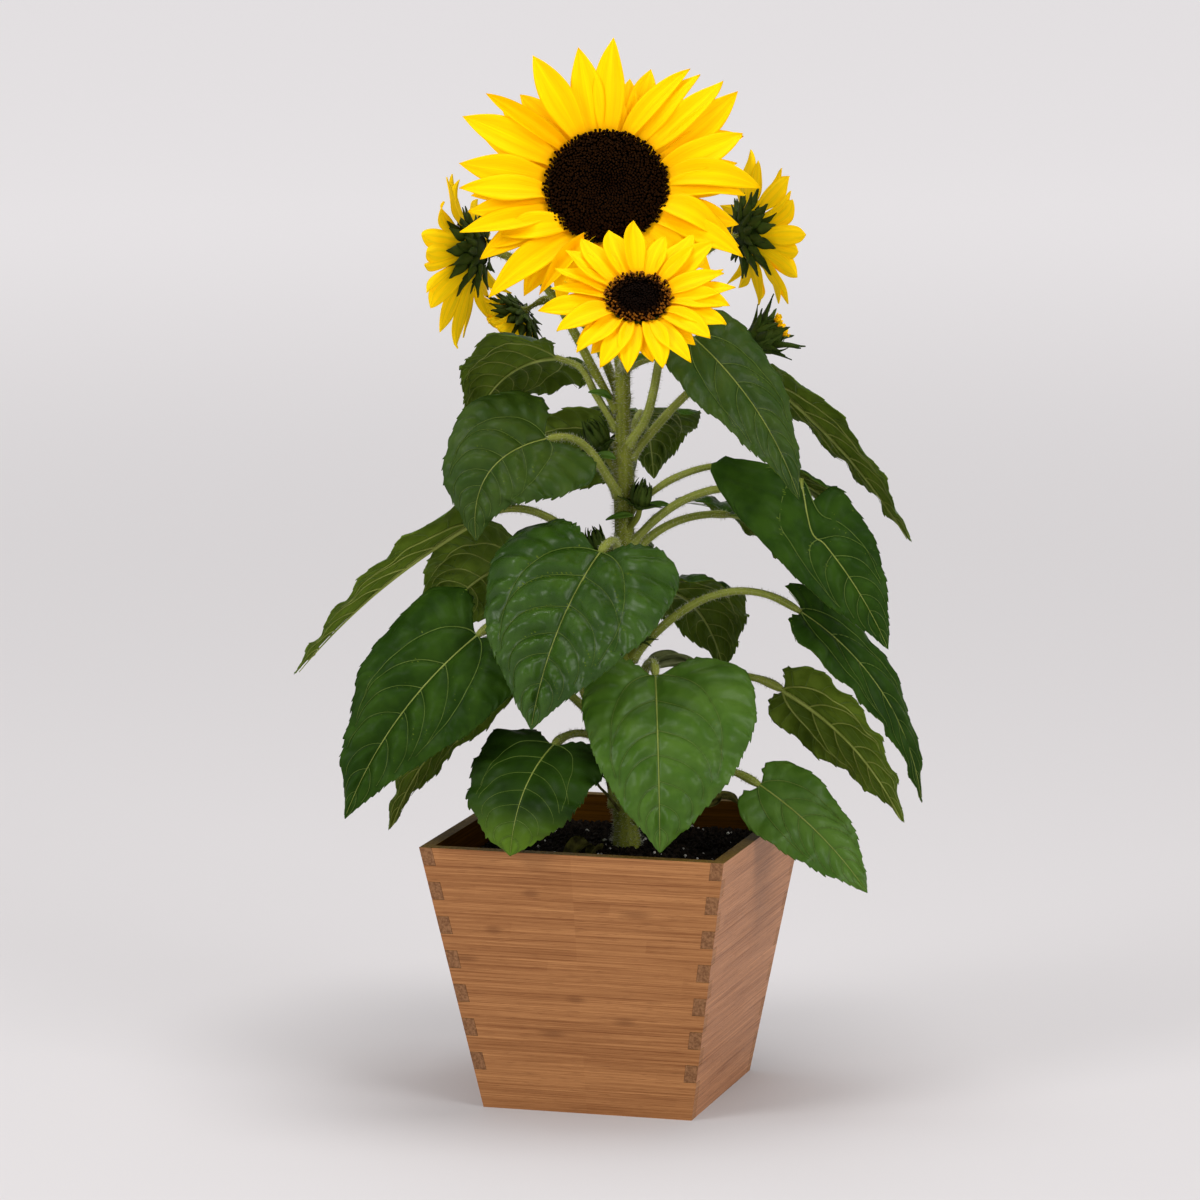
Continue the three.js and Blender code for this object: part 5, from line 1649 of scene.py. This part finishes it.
def build_bract_ring():
    tree, given, result = new_group(
        "Ring of bracts", "GeometryNodeTree",
        [("Geometry", GEOMETRY, None), ("Bract", OBJECT, None), ("Material", MATERIAL, None),
         ("Count", WHOLE, 20), ("Radius", FLOAT, 0.02), ("Height", FLOAT, 0.0),
         ("Lean", FLOAT, 1.0), ("Size", FLOAT, 0.015), ("Width", FLOAT, 1.0), ("Turn", FLOAT, 0.0),
         ("Mess", FLOAT, 0.2), ("Seed", WHOLE, 1)],
        [("Geometry", GEOMETRY)],
    )
    line = add_node(tree, "GeometryNodeMeshLine", {"Count": given["Count"]})
    number = add_node(tree, "GeometryNodeInputIndex").outputs[0]
    share = maths(tree, "DIVIDE", number, given["Count"])
    low = maths(tree, "MULTIPLY", given["Mess"], -1.0)
    sway = [chance(tree, low, given["Mess"], maths(tree, "ADD", given["Seed"], k)) for k in range(4)]
    even = maths(tree, "MULTIPLY_ADD", share, 2 * math.pi, given["Turn"])
    angle = maths(tree, "ADD", even, maths(tree, "MULTIPLY", sway[0], 0.5))
    place = triple(
        tree, maths(tree, "MULTIPLY", given["Radius"], maths(tree, "SINE", angle)),
        maths(tree, "MULTIPLY", given["Radius"], maths(tree, "COSINE", angle)), given["Height"])
    laid = add_node(tree, "GeometryNodeSetPosition", {"Geometry": line.outputs[0], "Position": place})
    lean = maths(tree, "MULTIPLY", maths(tree, "ADD", given["Lean"], sway[1]), -1.0)
    tilt = triple(tree, lean, maths(tree, "MULTIPLY", sway[2], 0.6))
    spin = triple(tree, z=maths(tree, "MULTIPLY", angle, -1.0))
    both = add_node(tree, "FunctionNodeRotateRotation", {
        0: add_node(tree, "FunctionNodeEulerToRotation", {0: spin}).outputs[0],
        1: add_node(tree, "FunctionNodeEulerToRotation", {0: tilt}).outputs[0]}, rotation_space="LOCAL")
    long = maths(tree, "MULTIPLY", given["Size"], maths(tree, "ADD", sway[3], 1.0))
    wide = maths(tree, "MULTIPLY", given["Size"], given["Width"])
    size = triple(tree, wide, long, long)
    set_out(tree, given, result, laid.outputs[0], "Bract", both.outputs[0], size, smooth=True)
    return tree


BRACT_RING = build_bract_ring()
open_bract = helper_object("open_bract", bract_mesh("open_bract", -0.12))
closed_bract = helper_object("closed_bract", bract_mesh("closed_bract", 0.55))


def ring_of_bracts(bract, **values):
    return grown(holder, BRACT_RING, Bract=bract, Material=BRACT_SKIN, **values)


def lathe(shapes, profile, turn_to, sides=40):
    """A closed body of revolution; turn_to maps (angle in degrees, radius, height) to points."""
    radii, heights = np.array(profile).T
    angle = np.linspace(0, 360, sides, endpoint=False)
    rings = [turn_to(angle, np.full(sides, r), np.full(sides, h)) for r, h in zip(radii[1:-1], heights[1:-1])]
    ends = [turn_to(angle[:1], np.zeros(1), h) for h in (heights[:1], heights[-1:])]
    rows = len(rings)
    faces = [face[::-1] for face in grid_faces(rows, sides, closed=True)]
    first, last = rows * sides, rows * sides + 1
    faces += [[first, k, (k + 1) % sides] for k in range(sides)]
    base = (rows - 1) * sides
    faces += [[last, base + (k + 1) % sides, base + k] for k in range(sides)]
    uv = np.column_stack([np.tile(angle / 360, rows), np.repeat(heights[1:-1], sides)])
    shapes.add(np.concatenate(rings + ends), faces, np.concatenate([uv, [[0, heights[0]], [0, heights[-1]]]]))


RECEPTACLE = (      # distances from the axis and heights over the face, as shares of the disc's radius
    (0, -0.62), (0.25, -0.61), (0.42, -0.56), (0.66, -0.47), (0.86, -0.34), (0.97, -0.16), (0.99, -0.05),
    (0.9, -0.05), (0.5, -0.10), (0, -0.16),
)
# A near-black dome under the florets of each disc: painted shade in the gaps between them.
SHADE_PAD = ((0, -0.12), (0.93, -0.12), (0.97, -0.04), (0.88, 0.015), (0.6, 0.04), (0.3, 0.0), (0, -0.07))
head_shapes, shade_pad_shapes, bracts = Shapes(), Shapes(), []
for name, bloom in BLOOMS.items():
    d = bloom.disc
    lathe(head_shapes, [(r * d, h * d) for r, h in RECEPTACLE], bloom.at)
    lathe(shade_pad_shapes, [(r * d, h * d) for r, h in SHADE_PAD], bloom.at)
    small = name != "bloom_main"
    size = (13 if small else 22) * MM * (0.85 if name == "bloom_low_left" else 1)
    count = 11 if small else 24
    for row, (radius, height, lean, share) in enumerate((
        (0.96, -0.20, 1.45, 0.62), (0.90, -0.32, 1.70, 0.74), (0.78, -0.44, 1.95, 0.74),
    ) if name in ("bloom_main", "bloom_front") else (
        (1.0, -0.12, 0.80, 0.85), (0.96, -0.34, 0.92, 0.95), (0.78, -0.56, 1.15, 0.90), (0.55, -0.66, 1.35, 0.70),
    )):
        mesh = ring_of_bracts(
            open_bract, Count=count, Radius=radius * d, Height=height * d, Lean=lean, Size=size * share,
            Width=1.4 if small else 1.05, Turn=row * math.pi / count + 0.1, Mess=0.16, Seed=len(bracts) * 7 + 3,
        )
        bracts.append(on_bloom(mesh, bloom))
piece("receptacles", head_shapes.mesh("receptacles", [BRACT_SKIN]), names("bloom_"))
piece("floret_pads", shade_pad_shapes.mesh("floret_pads", [DARK_FLORET]))
piece("bloom_bracts", joined("bloom_bracts", bracts))

# %% [markdown]
# ## Buds
# The buds are green balls that bracts close over like claws. The largest, out on the right, is about to
# open: its bracts are long and a few rays show their yellow tips between them.

# %% Closed heads on short stalks
BALL = (    # distances from the axis and heights along it, as shares of the bud's radius
    (0, -1.02), (0.35, -0.97), (0.7, -0.7), (0.84, -0.3), (0.86, 0.1), (0.78, 0.5), (0.6, 0.78),
    (0.3, 0.92), (0, 0.95),
)
bud_shapes, bud_stalks, bud_bracts = Shapes(), Shapes(), []
tip_shapes = Shapes()
for number, name in enumerate(names("bud_")):
    centres, radii = read_limb(name)
    wide = int(np.argmax(radii))
    facing = unit(centres[-1] - centres[wide - 1])
    size = radii[wide]
    head = Head(centres[wide], facing)
    foot = [i for i in range(wide) if radii[i] < 0.6 * size] or [0]
    line = np.concatenate([centres[foot], [centres[wide] - facing * size * 0.8]])
    width = np.concatenate([radii[foot], [radii[foot[-1]] * 1.2]])
    line, width = rooted(line, width, 2.6 * MM)
    line, width = through(line, 24, width)
    add_tube(bud_stalks, line, width, sides=14, ribs=5, rib_height=0.05)
    lathe(bud_shapes, [(r * size, h * size) for r, h in BALL], head.at, sides=24)
    opening = name == "bud_outer_right"
    rows = (
        (closed_bract, 11, 0.62, -0.62, 0.62, 2.05), (closed_bract, 12, 0.86, -0.25, 0.38, 1.95),
        (closed_bract, 10, 0.78, 0.12, 0.05, 1.55), (open_bract, 9, 0.62, -0.7, 1.25, 1.45),
    )
    if opening:
        rows = (
            (closed_bract, 11, 0.66, -0.6, 0.70, 1.40), (closed_bract, 11, 0.88, -0.25, 0.34, 1.30),
            (closed_bract, 9, 0.78, 0.12, 0.12, 1.10), (open_bract, 8, 0.74, -0.45, 0.80, 1.35),
            (open_bract, 7, 0.84, 0.05, 0.42, 1.55),
        )
        head.disc, head.reach = size * 0.55, size
        for turn in range(0, 360, 24):
            draw_turn = turn + draw.uniform(-6, 6)
            add_ray(
                tip_shapes, head, draw, draw_turn, draw_turn + draw.uniform(-25, 25),
                size / MM * draw.uniform(0.35, 0.8), 2.2, size / MM, draw.uniform(2, 6), 0, 1.5, 0, 0.5,
            )
    for row, (shape, count, away, height, lean, long) in enumerate(rows):
        mesh = ring_of_bracts(
            shape, Count=count, Radius=away * size, Height=height * size, Lean=lean, Size=long * size,
            Width=0.95, Turn=row * 0.31, Mess=0.2, Seed=900 + number * 10 + row,
        )
        bud_bracts.append(on_bloom(mesh, head))
balls = bud_shapes.mesh("bud_balls", [BRACT_SKIN])
piece("buds", joined("buds", [balls] + bud_bracts), names("bud_"))
bud_stalk_mesh = bud_stalks.mesh("bud_stalk_skin", [STEM_SKIN])
piece("bud_stalks", bud_stalk_mesh)
piece("bud_ray_tips", tip_shapes.mesh("bud_ray_tips", [RAY_FACE, RAY_BACK]))
for helper in (open_bract, closed_bract, holder):
    bpy.data.objects.remove(helper)

# %% [markdown]
# ## Small growth
# Young leaflets stand in the leaf corners of the stem, two dried seed leaves curl on the soil at its
# foot, and a dry tendril and a scrap of dead leaf hang beside it. Each is a small closed sheet bent
# along its length and across its width.

# %% Little leaves
def add_leaflet(shapes, foot, heading, face_up, length, width, bend_down, cup, kind=0, twist=0.0):
    """A small pointed sheet; lengths in metres, bend_down and twist in radians over its length."""
    rows, columns = 22, 9
    u = np.linspace(0, 1, rows)
    across = np.linspace(-1, 1, columns)
    heading, face_up = unit(np.array(heading, float)), np.array(face_up, float)
    side = unit(np.cross(heading, face_up))
    normal = np.cross(side, heading)
    angle = bend_down * u
    ahead = np.cos(angle)[:, None] * heading - np.sin(angle)[:, None] * normal
    over = np.sin(angle)[:, None] * heading + np.cos(angle)[:, None] * normal
    middle = np.array(foot) + np.cumsum(np.concatenate([[np.zeros(3)], ahead[:-1]]), axis=0) * length / (rows - 1)
    turn = twist * u
    sides = side * np.cos(turn)[:, None] + over * np.sin(turn)[:, None]
    over = over * np.cos(turn)[:, None] - side * np.sin(turn)[:, None]
    shape = np.sin(math.pi * np.clip(u, 0.02, 0.985) ** 0.75) ** 0.8
    half = width / 2 * (shape + 0.05)
    offset = half[:, None] * across[None]
    lift = cup * half[:, None] * (across**2)[None] + 0.09 * half[:, None] * np.sin(9 * u[:, None] + 5 * across[None])
    points = (middle[:, None] + sides[:, None] * offset[..., None] + over[:, None] * lift[..., None]).reshape(-1, 3)
    thick = np.repeat(over, columns, 0) * 0.2 * MM
    top, rest = sheet_faces(rows, columns)
    uv = np.column_stack([np.broadcast_to(0.5 + across / 2, offset.shape).ravel(), np.repeat(u, columns)])
    rib = np.exp(-(np.broadcast_to(across, offset.shape).ravel() / 0.16) ** 2)
    shapes.add(np.concatenate([points + thick, points - thick]), top + rest,
               np.concatenate([uv, uv]), kind, np.concatenate([rib, rib]))


young, dry = Shapes(), Shapes()
for foot, heading, face_up, length, width, bend_down, cup, kind, twist in (
    ((21, -9, 231), (1, 0.15, 0.9), (-0.4, -0.6, 0.6), 24, 9, 1.5, 0.7, 1, 0.7),
    ((20, -8, 229), (1, 0.3, 0.45), (-0.2, -0.7, 0.7), 30, 8, 0.9, 0.9, 1, -0.6),
    ((16, -6, 228), (0.6, -0.8, 0.5), (0, 0.3, 1), 12, 5, 1.2, 0.6, 1, 0.3),
    ((13, -7, 311), (-1, -0.25, 0.05), (0.1, -0.4, 0.9), 15, 4.6, 0.5, 0.4, 0, 0.3),
    ((17, -2, 314), (1, 0.1, 0.35), (-0.3, -0.5, 0.8), 15, 6, 0.5, 0.5, 0, 0.2),
    ((4, -9, 341), (-0.9, -0.5, 0.5), (0.3, -0.5, 0.8), 12, 4.5, 0.8, 0.6, 0, 0.4),
    ((1, -6, 372), (-0.7, -0.6, 0.7), (0.4, -0.5, 0.8), 13, 4.5, 0.9, 0.6, 0, 0.2),
    ((14, -5, 392), (0.8, -0.5, 0.6), (-0.3, -0.5, 0.8), 12, 4, 0.7, 0.6, 0, 0.3),
    ((9, -9, 277), (0.5, -0.9, 0.4), (0, 0.3, 1), 10, 4, 0.7, 0.6, 0, 0.2),
    ((3, -6, 190), (-0.7, -0.7, 0.5), (0.2, 0.2, 1), 12, 4.5, 0.9, 0.6, 0, 0.3),
):
    add_leaflet(young, np.array(foot) * MM, heading, face_up, length * MM, width * MM, bend_down, cup, kind, twist)
piece("young_leaflets", young.mesh("young_leaflets", [LEAF_TOPS["fresh"], FELT_LEAF]))
for foot, heading, face_up, length, width, bend_down, cup, twist in (
    ((-10, -14, 134), (-0.8, -0.9, 0.35), (0.2, 0, 1), 19, 9, 1.6, 0.9, 0.9),
    ((-4, -16, 133), (-0.1, -1, 0.3), (0, 0.2, 1), 16, 8, 1.3, 0.8, -1.0),
    ((53, -12, 160), (0.9, 0.1, 0.7), (-0.5, -0.5, 0.6), 19, 9, 1.6, 0.8, 1.2),
    ((52, -12, 158), (0.9, 0.3, 0.2), (-0.2, -0.5, 0.8), 13, 6, -1.0, 0.8, -0.8),
):
    add_leaflet(dry, np.array(foot) * MM, heading, face_up, length * MM, width * MM, bend_down, cup, 0, twist)
tendril = np.array([(4, -7, 153), (0, -16, 163), (-3, -24, 171), (-2, -27, 176), (2, -26, 174), (3, -24, 168)]) * MM
line, radii = through(tendril, 40, np.linspace(0.9, 0.35, len(tendril)) * MM)
add_tube(dry, line, radii, sides=8, ribs=3, rib_height=0.1)
piece("dried_bits", dry.mesh("dried_bits", [DRY_LEAF]))

# %% [markdown]
# ## Floor, light and camera
# A wide pale floor fills the view. Its colour is painted darker near the pot and paler far off, and it
# glows, painted light that grows with distance and is weaker in a patch just behind the pot, which
# deepens the soft shadow there with painted shade. Three soft boxes of like strength light the plant from
# the left, from the right and from above. The camera stands far off with a long lens, a little above the pot.

# %% The stage
FLOOR_HALF = 30.0
SHADOW_MIDDLE = (-0.06, 0.07, 0.0)


def stage_floor():
    mesh = bpy.data.meshes.new("floor")
    corners = [(x * FLOOR_HALF, y * FLOOR_HALF, 0) for x, y in ((-1, -1), (1, -1), (1, 1), (-1, 1))]
    mesh.from_pydata(corners, [], [[0, 1, 2, 3]])
    material, tree, shader = start_material("pale_floor_painted_light_and_shade")
    place = add_node(tree, "ShaderNodeTexCoord").outputs["Object"]
    away = add_node(tree, "ShaderNodeVectorMath", {0: place}, operation="LENGTH").outputs["Value"]
    # Painted shade: the floor's colour is darker near the pot and paler far off.
    shade = fitted(tree, away, 0.2, 3.5, smooth=True)
    colour = mix_colour(tree, shade, (0.47, 0.455, 0.46, 1), (0.60, 0.585, 0.59, 1))
    tree.links.new(colour, shader.inputs["Base Color"])
    # The floor's pale grey emission is painted light that grows with distance.
    rise = fitted(tree, away, 0.8, 5.0, smooth=True)
    painted_glow = mix_colour(tree, rise, (0.220, 0.210, 0.210, 1), (0.516, 0.500, 0.506, 1))
    tree.links.new(painted_glow, shader.inputs["Emission Color"])
    # Painted shadow: the emission is weaker in a patch round SHADOW_MIDDLE, just behind the pot.
    behind = add_node(tree, "ShaderNodeVectorMath", {0: place, 1: SHADOW_MIDDLE}, operation="DISTANCE")
    strength = fitted(tree, behind.outputs["Value"], 0.06, 0.26, 0.25, 1.0, smooth=True)
    tree.links.new(strength, shader.inputs["Emission Strength"])
    shader.inputs["Roughness"].default_value = 0.8
    shader.inputs["Specular IOR Level"].default_value = 0.1
    mesh.materials.append(material)
    floor = bpy.data.objects.new("floor", mesh)
    bpy.context.scene.collection.objects.link(floor)


def soft_box(name, place, target, size, power):
    light = bpy.data.lights.new(name, "AREA")
    light.shape = "RECTANGLE"
    light.size, light.size_y = size
    light.energy = power
    lamp = bpy.data.objects.new(name, light)
    lamp.location = place
    lamp.rotation_euler = (Vector(target) - Vector(place)).to_track_quat("-Z", "Y").to_euler()
    bpy.context.scene.collection.objects.link(lamp)


stage_floor()
middle = (0, 0, 0.3)
soft_box("key", (-1.6, -2.2, 1.9), middle, (1.2, 1.2), 40)
soft_box("fill", (2.6, -1.6, 1.8), middle, (1.5, 1.5), 43)
soft_box("top", (-0.1, 0.3, 2.6), middle, (1.4, 1.1), 33)
world = bpy.data.worlds.new("studio")
bpy.context.scene.world = world
world.use_nodes = True
tree = world.node_tree
direction = add_node(tree, "ShaderNodeTexCoord").outputs["Generated"]
height = add_node(tree, "ShaderNodeSeparateXYZ", {0: direction}).outputs["Z"]
sky = mix_colour(tree, fitted(tree, height, 0.02, 0.5, smooth=True), (0.72, 0.70, 0.71, 1), (0.36, 0.355, 0.36, 1))
tree.links.new(sky, tree.nodes["Background"].inputs[0])
bpy.context.scene.view_settings.view_transform = "Standard"

# %% The camera
BEARING, FALL, ROLL = math.radians(16.96), math.radians(9.35), math.radians(-0.49)
LENS, SENSOR = 180.0, 36.0
CAMERA_PLACE = (0.904, -2.990, 0.779)
ahead = Vector((-math.sin(BEARING) * math.cos(FALL), math.cos(BEARING) * math.cos(FALL), -math.sin(FALL)))
level = Vector((math.cos(BEARING), math.sin(BEARING), 0))
upright = level.cross(ahead)
right = level * math.cos(ROLL) + upright * math.sin(ROLL)
camera_data = bpy.data.cameras.new("camera")
camera_data.lens, camera_data.sensor_width = LENS, SENSOR
camera = bpy.data.objects.new("camera", camera_data)
camera.matrix_world = (
    Matrix.Translation(CAMERA_PLACE)
    @ Matrix((right, right.cross(ahead), -ahead)).transposed().to_4x4()
)
bpy.context.scene.collection.objects.link(camera)
bpy.context.scene.camera = camera
print("camera at", [round(x, 3) for x in camera.location])
